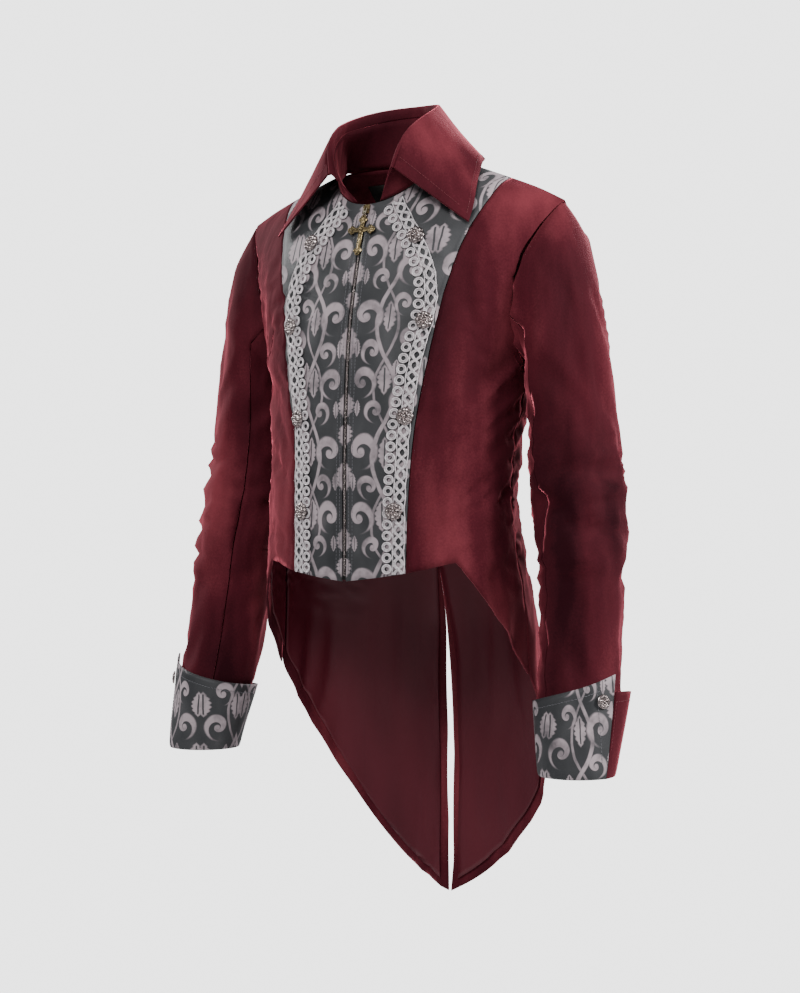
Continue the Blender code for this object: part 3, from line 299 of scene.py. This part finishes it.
def metalFinish(name, dark, light, roughness):
    finish = Finish(name, roughness, 1.0)
    tarnish = finish.noise(420, 4.0, 0.65)
    finish.colour(tarnish, [(0.36, dark), (0.56, light)])
    finish.roughness(roughness + 0.2 - tarnish * 0.35)
    finish.bump(finish.noise(1500, 2.0), 0.0002, 0.35)
    return finish.material


finishes = {
    "velvet": velvetFinish(),
    "satin": satinFinish(),
    "figured_cloth": figuredFinish("figuredSatin"),
    "figured_cuff": figuredFinish("figuredCuffSatin", curved=True),
    "lining": liningFinish(),
    "lace_thread": threadFinish("laceThread", (0.42, 0.38, 0.39), (0.78, 0.72, 0.74), 0.5, 0.15),
    "brass": metalFinish("antiqueBrass", (0.022, 0.017, 0.010), (0.33, 0.25, 0.13), 0.28),
    "silver": metalFinish("agedSilver", (0.07, 0.055, 0.055), (0.40, 0.34, 0.33), 0.26),
}
greyThread = threadFinish("greyThread", (0.10, 0.10, 0.11), (0.19, 0.18, 0.20))
wineThread = threadFinish("wineThread", (0.10, 0.010, 0.018), (0.20, 0.030, 0.042))
paleBrass = metalFinish("paleBrass", (0.34, 0.29, 0.20), (0.72, 0.65, 0.50), 0.25)
print("materials made")

# Folds of the cloth, as moves away from the middle of the body or of a sleeve
folds = {"waist": 0.0038, "chest": 0.0014, "tails": 0.0030, "elbow": 0.0056, "sleeve": 0.0024}


def ridge(place):
    return 1 - 2 * abs(noise.noise(place)) * 1.6


def rise(value, low, high):
    t = min(max((value - low) / (high - low), 0.0), 1.0)
    return t * t * (3 - 2 * t)


def bodyMove(point):
    middle = Vector((0, -0.02, point.z))
    away = Vector((point.x, point.y + 0.02, 0)).normalized()
    along = math.atan2(point.x, -point.y - 0.02) * 0.15
    side = 1 if point.x > 0 else -1
    waist = rise(point.z, -0.52, -0.42) * (1 - rise(point.z, -0.26, -0.14))
    tails = 1 - rise(point.z, -0.56, -0.48)
    drag = ridge(Vector((along * 16 + side * 2, point.z * 46 - abs(along) * 34, 1.5)))
    fine = ridge(Vector((along * 40, point.z * 70 + abs(along) * 30, side * 4.0)))
    hang = ridge(Vector((along * 34, point.z * 6, side * 7.0)))
    sideward = rise(abs(point.x), 0.05, 0.11)
    height = folds["waist"] * waist * (drag * 0.75 + fine * 0.35) * sideward
    height += folds["chest"] * fine * (1 - waist) * (1 - tails) * sideward * rise(-0.05 - point.z, 0.0, 0.06)
    height += folds["tails"] * hang * tails
    return away * height


def sleeveMove(point):
    side = 1 if point.x > 0 else -1
    out, forward = 0.215 + 0.035 * rise(-point.z, 0.10, 0.70), 0.055 * rise(-point.z, 0.35, 0.72)
    centre = Vector((side * out, -forward, 0))
    away = Vector((point.x - centre.x, point.y - centre.y, 0))
    around = math.atan2(away.y, away.x * side)
    away.normalize()
    elbow = rise(point.z, -0.52, -0.44) * (1 - rise(point.z, -0.36, -0.28))
    wrist = 1 - rise(point.z, -0.62, -0.54)
    cross = ridge(Vector((math.cos(around) * 0.9, math.sin(around) * 0.9 + side * 3, point.z * 52)))
    slant = ridge(Vector((math.cos(around) * 1.5, math.sin(around) * 1.5, point.z * 24 + around * 1.2)))
    start = rise(-0.10 - point.z, 0.0, 0.08)
    end = rise(point.z, -0.69, -0.66)
    height = folds["elbow"] * (elbow + wrist * 0.5) * cross + folds["sleeve"] * slant
    return away * height * start * end


# Cloth: each CAD wall smoothed, with its folds, as a piece that stands for its node
cloths = {
    "front_centre": {"move": bodyMove, "finish": "figured_cloth", "flat": (0.141, 0.505), "area": 0.0484},
    "front_side": {"move": bodyMove, "finish": "velvet", "flat": (0.147, 0.580), "area": 0.0567},
    "back": {"move": bodyMove, "finish": "velvet", "flat": (0.234, 0.895), "area": 0.1738},
    "sleeve_upper": {"move": sleeveMove, "finish": "velvet", "flat": (0.190, 0.640), "area": 0.0991},
    "sleeve_under": {"move": sleeveMove, "finish": "velvet", "flat": (0.170, 0.590), "area": 0.0801},
    "cuff_front": {"move": None, "finish": "figured_cuff", "flat": (0.220, 0.115), "area": 0.0189},
    "cuff_back": {"move": None, "finish": "velvet", "flat": (0.114, 0.100), "area": 0.0097},
    "tail_lining": {"move": bodyMove, "finish": "satin", "flat": (0.215, 0.410), "area": 0.0612},
    "side_lining": {"move": bodyMove, "finish": "satin", "flat": (0.073, 0.165), "area": 0.0081},
    "neck_lining": {"move": bodyMove, "finish": "lining", "flat": (0.151, 0.137), "area": 0.0186},
    "collar_stand": {"move": None, "finish": "velvet", "flat": (0.341, 0.075), "area": 0.0213},
    "collar_fall": {"move": None, "finish": "velvet", "flat": (0.533, 0.150), "area": 0.0484},
}
smooth = {"levels": 2, "rim": 1.0, "corner": 45.0, "flat": 50.0, "skew": 70.0}
sheets = {}


def meshOf(name, mesh, finish, body="coat", smoothed=True):
    piece = bpy.data.objects.new(name, mesh)
    bpy.context.scene.collection.objects.link(piece)
    mesh.materials.clear()
    mesh.materials.append(finish)
    if smoothed:
        mesh.shade_smooth()
        mesh.set_sharp_from_angle(angle=math.radians(50))
    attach(piece, body)
    return piece


def smoothedMesh(node, levels):
    shape = bmesh.new()
    shape.from_mesh(nodes[node].data)
    bmesh.ops.remove_doubles(shape, verts=shape.verts[:], dist=0.00002)
    bmesh.ops.join_triangles(
        shape,
        faces=shape.faces[:],
        angle_face_threshold=math.radians(smooth["flat"]),
        angle_shape_threshold=math.radians(smooth["skew"]),
    )
    crease = shape.edges.layers.float.new("crease_edge")
    for edge in shape.edges:
        if edge.calc_face_angle(0.0) > math.radians(smooth["corner"]):
            edge[crease] = smooth["rim"]
    mesh = bpy.data.meshes.new(node)
    shape.to_mesh(mesh)
    shape.free()
    rough = bpy.data.objects.new(node, mesh)
    bpy.context.scene.collection.objects.link(rough)
    modifier = rough.modifiers.new("smooth", "SUBSURF")
    modifier.levels = levels
    modifier.render_levels = levels
    graph = bpy.context.evaluated_depsgraph_get()
    result = bpy.data.meshes.new_from_object(rough.evaluated_get(graph))
    bpy.data.objects.remove(rough)
    return result


def makeCloth(node, settings):
    mesh = smoothedMesh(node, smooth["levels"])
    if settings["move"]:
        for vert in mesh.vertices:
            vert.co += settings["move"](vert.co)
    piece = meshOf(f"{node}_cloth", mesh, finishes[settings["finish"]])
    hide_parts(node)
    sheets[node] = piece


for kind, settings in cloths.items():
    for node in (kind, f"{kind}_left", f"{kind}_right"):
        if node in nodes:
            makeCloth(node, settings)
print("cloth made")


# What lies on the cloth is cast onto it
def surfaceOf(*names):
    shape = bmesh.new()
    for name in names:
        shape.from_mesh(sheets[name].data)
    tree = BVHTree.FromBMesh(shape)
    shape.free()
    return tree


def castPoint(tree, origin, direction, lift):
    hit, normal, _, _ = tree.ray_cast(origin, direction)
    if hit is None:
        return None, None
    if normal.dot(direction) > 0:
        normal = -normal
    return hit + normal * lift, normal


def threads(name, runs, radius, finish, body="coat", sides=1, closed=False):
    curve = bpy.data.curves.new(name, "CURVE")
    curve.dimensions = "3D"
    curve.bevel_depth = radius
    curve.bevel_resolution = sides
    curve.use_fill_caps = True
    for run in runs:
        spline = curve.splines.new("POLY")
        spline.points.add(len(run) - 1)
        for target, point in zip(spline.points, run):
            target.co = (*point, 1)
        spline.use_cyclic_u = closed
    source = bpy.data.objects.new(name, curve)
    bpy.context.scene.collection.objects.link(source)
    mesh = bpy.data.meshes.new_from_object(source.evaluated_get(bpy.context.evaluated_depsgraph_get()))
    bpy.data.objects.remove(source)
    return meshOf(name, mesh, finish, body)


def smoothTable(table, at):
    # cubic through (place, value) rows, places rising
    last = len(table) - 1
    at = min(max(at, table[0][0]), table[last][0])
    i = 0
    while i < last - 1 and at > table[i + 1][0]:
        i += 1

    def slope(k):
        a, b = table[max(k - 1, 0)], table[min(k + 1, last)]
        return (b[1] - a[1]) / (b[0] - a[0])

    (x0, y0), (x1, y1) = table[i], table[i + 1]
    t = (at - x0) / (x1 - x0)
    span = x1 - x0
    start = y0 * (1 + 2 * t) * (1 - t) ** 2 + slope(i) * span * t * (1 - t) ** 2
    return start + y1 * t * t * (3 - 2 * t) + slope(i + 1) * span * t * t * (t - 1)


lace = {
    "path": [
        (0.052, 0.0262), (0.060, 0.0320), (0.074, 0.0420), (0.092, 0.0550), (0.115, 0.0690),
        (0.140, 0.0785), (0.165, 0.0810), (0.190, 0.0775), (0.220, 0.0700), (0.260, 0.0635),
        (0.310, 0.0570), (0.360, 0.0545), (0.420, 0.0530), (0.4735, 0.0530),
    ],
    "pitch": 0.0127,
    "ring": 0.0050,
    "thread": 0.00085,
    "cord": 0.00065,
    "lift": 0.0012,
    "edges": (0.0066, 0.0192),
    "braid": 0.0129,
    "swing": 0.0047,
}
frontTree = surfaceOf("front_centre_left", "front_centre_right", "front_side_left", "front_side_right")


def laceFrame():
    # middle line of the rings in front view, with its lengths
    points, lengths = [], [0.0]
    drop = lace["path"][0][0]
    while drop <= lace["path"][-1][0]:
        points.append(Vector((smoothTable(lace["path"], drop), -drop)))
        if len(points) > 1:
            lengths.append(lengths[-1] + (points[-1] - points[-2]).length)
        drop += 0.0005
    return points, lengths


lacePoints, laceLengths = laceFrame()


def lacePlace(along, across, sign, lift):
    i = min(int(along / laceLengths[-1] * (len(laceLengths) - 1)), len(lacePoints) - 2)
    while i > 0 and laceLengths[i] > along:
        i -= 1
    while i < len(lacePoints) - 2 and laceLengths[i + 1] < along:
        i += 1
    tangent = (lacePoints[i + 1] - lacePoints[i]).normalized()
    spot = lacePoints[i] + tangent * (along - laceLengths[i]) + Vector((-tangent.y, tangent.x)) * across
    point, _ = castPoint(frontTree, Vector((spot.x * sign, -0.5, spot.y)), Vector((0, 1, 0)), lift)
    return point


def makeLace(side, sign):
    runs, rings = [], []
    total = laceLengths[-1]
    count = round(total / lace["pitch"])
    pitch = total / count
    for k in range(count):
        middle = (k + 0.5) * pitch
        for radius, lift in ((lace["ring"], 0.0008), (lace["ring"] - 0.0017, 0.0003)):
            ring = [
                lacePlace(middle + radius * math.cos(a), radius * math.sin(a), sign, lace["lift"] + lift)
                for a in [2 * math.pi * i / 18 for i in range(18)]
            ]
            rings.append([p for p in ring if p])
    steps = count * 12
    # braid: two bundles of cords that swing apart and cross once a ring, between edge cords
    strands = [(edge, 0.0004, 0.0003) for edge in lace["edges"]]
    for offset in (-0.0013, 0.0, 0.0013):
        base = lace["braid"] + offset
        strands += [(base, lace["swing"], 0.0), (base, -lace["swing"], 0.0006)]
    for base, swing, lift in strands:
        run = []
        for i in range(steps + 1):
            along = total * i / steps
            across = base + swing * math.cos(math.pi * along / pitch)
            point = lacePlace(along, across, sign, lace["lift"] + lift)
            if point:
                run.append(point)
        runs.append(run)
    braid = threads(f"lace_braid_{side}", runs, lace["cord"], finishes["lace_thread"])
    threads(f"lace_rings_{side}", rings, lace["thread"], finishes["lace_thread"], closed=True)
    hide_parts(f"lace_{side}")


for side, sign in (("left", 1), ("right", -1)):
    makeLace(side, sign)
print("lace made")


# Stitches: short threads that follow a line cast onto the cloth
stitch = {
    "length": 0.0030,
    "gap": 0.0011,
    "radius": 0.00026,
    "lift": 0.00015,
    "placket": (0.0060, 0.0105),
    "collarInset": 0.0062,
    "collarEnds": (0.055, 1.945),
}


def stitchRuns(points):
    runs, run, travelled, target, drawing = [], [points[0]], 0.0, stitch["length"], True
    for a, b in zip(points, points[1:]):
        step = (b - a).length
        if step < 1e-7 or step > 0.03:
            continue
        done = 0.0
        while travelled + step - done >= target:
            done += target - travelled
            point = a.lerp(b, done / step)
            if drawing:
                run.append(point)
                runs.append(run)
                target = stitch["gap"]
            else:
                run = [point]
                target = stitch["length"]
            drawing = not drawing
            travelled = 0.0
        travelled += step - done
        if drawing:
            run.append(b)
    return [r for r in runs if len(r) > 1]


def frontLine(offset, sign, top, foot, count=240):
    points = []
    for i in range(count + 1):
        z = top + (foot - top) * i / count
        point, _ = castPoint(frontTree, Vector((offset * sign, -0.5, z)), Vector((0, 1, 0)), stitch["lift"])
        if point:
            points.append(point)
    return points


def stitchFronts():
    runs = []
    for sign in (1, -1):
        for offset in stitch["placket"]:
            runs += stitchRuns(frontLine(offset, sign, -0.062, -0.476))
    threads("placket_stitches", runs, stitch["radius"], greyThread)


stitchFronts()

collarEdge = [
    (0.00, (0.041, -0.110, -0.010), (0.128, -0.086, -0.076)),
    (0.20, (0.048, -0.101, 0.023), (0.125, -0.068, -0.052)),
    (0.36, (0.052, -0.082, 0.042), (0.119, -0.050, -0.027)),
    (0.55, (0.054, -0.051, 0.060), (0.109, -0.014, 0.009)),
    (0.78, (0.039, 0.006, 0.081), (0.078, 0.040, 0.012)),
    (1.00, (0.000, 0.031, 0.087), (0.000, 0.066, 0.008)),
]


def collarPlace(share, down):
    # a point of the fall's outer face near a share round the neck and a share down from the roll
    side = 1 if share <= 1 else -1
    share = share if share <= 1 else 2 - share
    roll = Vector([smoothTable([(s, r[k]) for s, r, e in collarEdge], share) for k in range(3)])
    edge = Vector([smoothTable([(s, e[k]) for s, r, e in collarEdge], share) for k in range(3)])
    point = roll.lerp(edge, down)
    point.x *= side
    return point


def stitchCollar():
    tree = surfaceOf("collar_fall")
    points = []
    for i in range(401):
        share = 0.055 + 1.89 * i / 400
        width = (collarPlace(share, 1.0) - collarPlace(share, 0.0)).length
        spot = collarPlace(share, 1 - stitch["collarInset"] / width)
        outward = Vector((spot.x, spot.y - 0.03, 0)).normalized()
        hit, normal, _, _ = tree.find_nearest(spot + Vector((0, 0, 0.006)) + outward * 0.01)
        points.append(hit + normal * stitch["lift"])
    runs = stitchRuns(points)
    for share in stitch["collarEnds"]:
        ends = []
        for i in range(60):
            spot = collarPlace(share, 0.10 + 0.83 * i / 59)
            hit, normal, _, _ = tree.find_nearest(spot + Vector((0, -0.004, 0.010)))
            ends.append(hit + normal * stitch["lift"])
        runs += stitchRuns(ends)
    threads("collar_stitches", runs, stitch["radius"], wineThread)


stitchCollar()

cuff = {"centre": (0.2520, -0.0630), "band": 0.0100}


def cuffHit(tree, sign, angle, z):
    turn = math.radians(angle)
    away = Vector((math.cos(turn) * sign, -math.sin(turn), 0))
    origin = Vector((cuff["centre"][0] * sign, cuff["centre"][1], z)) + away * 0.12
    return castPoint(tree, origin, -away, stitch["lift"])


def cuffTop(tree, sign, angle):
    # highest level at which the cuff is met from outside
    for i in range(150):
        z = -0.560 - 0.001 * i
        point, normal = cuffHit(tree, sign, angle, z)
        if point and (point - Vector((cuff["centre"][0] * sign, cuff["centre"][1], z))).dot(normal) > 0:
            return z
    return None


def stitchCuffs():
    grey, wine = [], []
    for side, sign in (("left", 1), ("right", -1)):
        for node, first, last, runs in (("cuff_front", 24, 256, grey), ("cuff_back", 268, 372, wine)):
            tree = surfaceOf(f"{node}_{side}")
            line = []
            for i in range(117):
                angle = first + (last - first) * i / 116
                top = cuffTop(tree, sign, angle)
                if top is None:
                    continue
                point, _ = cuffHit(tree, sign, angle, top - cuff["band"])
                if point:
                    line.append(point)
            if len(line) > 2:
                runs += stitchRuns(line)
            if node == "cuff_front":
                edge = [cuffHit(tree, sign, 28, -0.592 - 0.0016 * i)[0] for i in range(56)]
                runs += stitchRuns([p for p in edge if p])
    threads("cuff_stitches_front", grey, stitch["radius"], greyThread)
    threads("cuff_stitches_back", wine, stitch["radius"], wineThread)


stitchCuffs()
print("stitches made")

# Zip teeth: two rows of small blocks that meet on the centre line
zipTeeth = {
    "pitch": 0.0016,
    "size": (0.0017, 0.0014, 0.0009),
    "offset": 0.0006,
    "sink": 0.00048,
    "round": 0.00015,
    "top": 0.010,
    "foot": 0.004,
}


def makeZip():
    low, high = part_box("zip_chain")
    tree = BVHTree.FromObject(nodes["zip_chain"], bpy.context.evaluated_depsgraph_get())
    shape = bmesh.new()
    z, k = high.z - zipTeeth["top"], 0
    while z > low.z + zipTeeth["foot"]:
        hit, _, _, _ = tree.ray_cast(Vector((0, -0.5, z)), Vector((0, 1, 0)))
        if hit:
            side = 1 if k % 2 else -1
            made = bmesh.ops.create_cube(shape, size=1.0)
            bmesh.ops.scale(shape, vec=zipTeeth["size"], verts=made["verts"])
            bmesh.ops.translate(
                shape, vec=(side * zipTeeth["offset"], hit.y + zipTeeth["sink"], z), verts=made["verts"]
            )
        z -= zipTeeth["pitch"] / 2
        k += 1
    bmesh.ops.bevel(
        shape,
        geom=shape.edges[:],
        offset=zipTeeth["round"],
        segments=1,
        profile=0.5,
        affect="EDGES",
        material=-1,
    )
    mesh = bpy.data.meshes.new("zip_teeth")
    shape.to_mesh(mesh)
    shape.free()
    piece = meshOf("zip_teeth", mesh, finishes["silver"])
    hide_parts("zip_chain")


makeZip()
print("zip made")


# Buttons: a grid turned into petals, rims and domes round its middle
rosette = {"radius": 0.0103, "height": 0.0046, "petals": 8, "rings": 22, "spokes": 64}
cuffButton = {"radius": 0.0080, "height": 0.0036, "petals": 6, "rings": 20, "spokes": 60}


def rosetteHeight(r, angle, settings):
    petals = settings["petals"]
    outer = abs(math.cos(petals * angle / 2))
    inner = abs(math.sin(petals * angle / 2))
    dome = math.sqrt(max(1 - (r / 0.20) ** 2, 0.0)) * 0.55
    first = math.sin(math.pi * (r - 0.18) / 0.36) * (0.35 + 0.65 * inner) if 0.18 < r < 0.54 else 0.0
    second = math.sin(math.pi * (r - 0.44) / 0.56) * (0.25 + 0.75 * outer) if 0.44 < r < 1.0 else 0.0
    vein = 0.10 * math.exp(-((outer - 1) * 14) ** 2) * (0.5 < r < 0.95)
    return 0.22 + 0.30 * (1 - r) + 0.45 * max(dome, first, second * 0.9) - vein


def buttonMesh(settings, lobed):
    shape = bmesh.new()
    bmesh.ops.create_circle(shape, cap_ends=False, segments=settings["spokes"], radius=1.0)
    rim = shape.edges[:]
    for k in range(settings["rings"]):
        made = bmesh.ops.extrude_edge_only(shape, edges=rim)
        verts = [item for item in made["geom"] if isinstance(item, bmesh.types.BMVert)]
        rim = [item for item in made["geom"] if isinstance(item, bmesh.types.BMEdge)]
        inward = (settings["rings"] - 1 - k + 0.15) / (settings["rings"] - k + 0.15)
        bmesh.ops.scale(shape, vec=(inward, inward, 1), verts=verts)
    bmesh.ops.contextual_create(shape, geom=rim)
    for vert in shape.verts:
        r = vert.co.xy.length
        angle = math.atan2(vert.co.y, vert.co.x)
        scallop = 1 - (0.10 * (1 - abs(math.cos(settings["petals"] * angle / 2))) if lobed else 0.0) * r
        height = rosetteHeight(min(r, 1.0), angle, settings) if r < 0.999 else 0.05
        vert.co = Vector((vert.co.x * scallop, vert.co.y * scallop, 0)) * settings["radius"]
        vert.co.z = height * settings["height"]
    foot = bmesh.ops.extrude_edge_only(shape, edges=[e for e in shape.edges if e.is_boundary])
    for item in foot["geom"]:
        if isinstance(item, bmesh.types.BMVert):
            item.co.z = 0.0
    bmesh.ops.recalc_face_normals(shape, faces=shape.faces[:])
    mesh = bpy.data.meshes.new("button")
    shape.to_mesh(mesh)
    shape.free()
    return mesh


def nodeFacing(node):
    # middle of a button's back and its direction, from its CAD node
    shape = bmesh.new()
    shape.from_mesh(nodes[node].data)
    bmesh.ops.remove_doubles(shape, verts=shape.verts[:], dist=0.00002)
    bmesh.ops.dissolve_limit(shape, angle_limit=math.radians(2), verts=shape.verts[:], edges=shape.edges[:])
    flats = sorted(shape.faces, key=lambda face: face.calc_area())
    back = flats[-1]
    front = flats[-2]
    if front.calc_center_median().y > back.calc_center_median().y:
        back, front = front, back
    middle, normal = back.calc_center_median(), -back.normal
    shape.free()
    return middle, normal


def makeButton(node, settings, lobed, move):
    middle, normal = nodeFacing(node)
    mesh = buttonMesh(settings, lobed)
    facing = normal.to_track_quat("Z", "Y").to_matrix().to_4x4()
    mesh.transform(Matrix.Translation(middle + move(middle)) @ facing)
    piece = meshOf(f"{node}_relief", mesh, finishes["silver"])
    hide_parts(node)


for side in ("left", "right"):
    for number in range(1, 5):
        makeButton(f"rosette_{side}_{number}", rosette, True, bodyMove)
    makeButton(f"cuff_button_{side}", cuffButton, False, lambda point: Vector((0, 0, 0)))
print("buttons made")

# Cross: the CAD outline with softened edges, raised bars, curls and beads
cross = {
    "up": 0.0185,
    "side": 0.018,
    "down": 0.032,
    "inset": 0.0065,
    "face": 0.0012,
    "bar": 0.00075,
    "curl": 0.00042,
    "round": 0.00035,
    "beads": [
        (0, 0, 0.0024), (0, 0.0052, 0.0011), (0, -0.0052, 0.0011), (0.0052, 0, 0.0011),
        (-0.0052, 0, 0.0011), (0, -0.0105, 0.0011), (0.0026, 0.0026, 0.0008), (-0.0026, 0.0026, 0.0008),
        (0.0026, -0.0026, 0.0008), (-0.0026, -0.0026, 0.0008),
    ],
}


def makeCross():
    low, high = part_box("cross")
    middleX = (low.x + high.x) / 2
    shape = bmesh.new()
    shape.from_mesh(nodes["cross"].data)
    bmesh.ops.remove_doubles(shape, verts=shape.verts[:], dist=0.00002)
    bmesh.ops.dissolve_limit(shape, angle_limit=math.radians(2), verts=shape.verts[:], edges=shape.edges[:])
    rim = [edge for edge in shape.edges if edge.calc_face_angle(0.0) > math.radians(50)]
    bmesh.ops.bevel(
        shape, geom=rim, offset=cross["round"], segments=2, profile=0.5, affect="EDGES", material=-1
    )
    mesh = bpy.data.meshes.new("cross_plate")
    shape.to_mesh(mesh)
    shape.free()
    plate = meshOf("cross_plate", mesh, finishes["brass"], "cross")
    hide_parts("cross")
    # frame of the cross: its up direction leans with the chest
    up = Vector((0, high.y - low.y - 0.002, high.z - low.z)).normalized()
    out = Vector((0, -up.z, up.y))
    top = Vector((middleX, high.y - 0.001, high.z))
    centre = top - up * cross["up"]

    def spot(x, y):
        return centre + Vector((x, 0, 0)) + up * y + out * cross["face"]

    bars = [
        [spot(0, cross["up"] - cross["inset"]), spot(0, -cross["down"] + cross["inset"])],
        [spot(-cross["side"] + cross["inset"], 0), spot(cross["side"] - cross["inset"], 0)],
    ]
    curls = []
    arms = ((0, 1, cross["up"]), (1, 0, cross["side"]), (-1, 0, cross["side"]), (0, -1, cross["down"]))
    for dx, dy, reach in arms:
        for turn in (1, -1):
            curl = []
            for i in range(19):
                a = i / 18 * 1.7 * math.pi
                r = 0.0024 * (1 - i / 26)
                alongArm = reach - 0.0058 + r * math.sin(a)
                acrossArm = turn * (0.0031 + r * (math.cos(a) - 0.35) * 0.8)
                curl.append(spot(dx * alongArm + dy * acrossArm, dy * alongArm - dx * acrossArm))
            curls.append(curl)
    threads("cross_bars", bars, cross["bar"], finishes["brass"], "cross", 3)
    threads("cross_curls", curls, cross["curl"], finishes["brass"], "cross", 2)
    beads = bmesh.new()
    for x, y, radius in cross["beads"]:
        made = bmesh.ops.create_uvsphere(beads, u_segments=16, v_segments=10, radius=radius)
        bmesh.ops.translate(beads, vec=spot(x, y), verts=made["verts"])
    mesh = bpy.data.meshes.new("cross_beads")
    beads.to_mesh(mesh)
    beads.free()
    meshOf("cross_beads", mesh, finishes["brass"], "cross")


makeCross()
plainParts = {
    "zip_slider": finishes["brass"],
    "pull_tab": paleBrass,
    "jump_ring": finishes["brass"],
    "zip_tape": finishes["lining"],
}
for node, finish in plainParts.items():
    nodes[node].data.materials.clear()
    nodes[node].data.materials.append(finish)
print("cross made")

# Stage and light
stage = {"floor": -1.6, "radius": 1.5, "fill": 0.42, "seen": 3.1, "aim": (0, 0, -0.35)}
# place, size and power of each lamp
lights = {
    "keyLight": ((0.2, -2.3, 1.3), 0.8, 54),
    "sideLight": ((2.3, 0.3, 0.5), 0.6, 62),
    "rimLight": ((-2.2, 0.1, 0.8), 0.6, 34),
    "backLight": ((0.3, 2.6, 1.0), 1.0, 40),
}


def makeStage():
    shape = bmesh.new()
    bmesh.ops.create_circle(shape, cap_ends=True, segments=64, radius=stage["radius"])
    mesh = bpy.data.meshes.new("floor")
    shape.to_mesh(mesh)
    shape.free()
    floor = bpy.data.objects.new("floor", mesh)
    floor.location.z = stage["floor"]
    bpy.context.scene.collection.objects.link(floor)
    pale = Finish("paleFloor", 0.9)
    pale.shader.inputs["Base Color"].default_value = (0.8, 0.8, 0.8, 1)
    mesh.materials.append(pale.material)
    world = bpy.data.worlds.new("studio")
    world.use_nodes = True
    tree = world.node_tree
    fill = tree.nodes["Background"]
    fill.inputs[0].default_value = (0.95, 0.97, 1.0, 1)
    fill.inputs[1].default_value = stage["fill"]
    seen = addNode(tree, "ShaderNodeBackground", {}, {0: (1.0, 1.0, 1.0, 1), 1: stage["seen"]})
    path = addNode(tree, "ShaderNodeLightPath", {}, {})
    shaders = {0: path.outputs["Is Camera Ray"], 1: fill.outputs[0], 2: seen.outputs[0]}
    mix = addNode(tree, "ShaderNodeMixShader", {}, shaders)
    tree.links.new(mix.outputs[0], tree.nodes["World Output"].inputs["Surface"])
    bpy.context.scene.world = world


def addLight(name, place, size, power):
    data = bpy.data.lights.new(name, "AREA")
    data.size = size
    data.energy = power
    lamp = bpy.data.objects.new(name, data)
    lamp.location = place
    lamp.rotation_euler = (Vector(stage["aim"]) - Vector(place)).to_track_quat("-Z", "Y").to_euler()
    bpy.context.scene.collection.objects.link(lamp)


makeStage()
for name, (place, size, power) in lights.items():
    addLight(name, place, size, power)
print("stage lit")
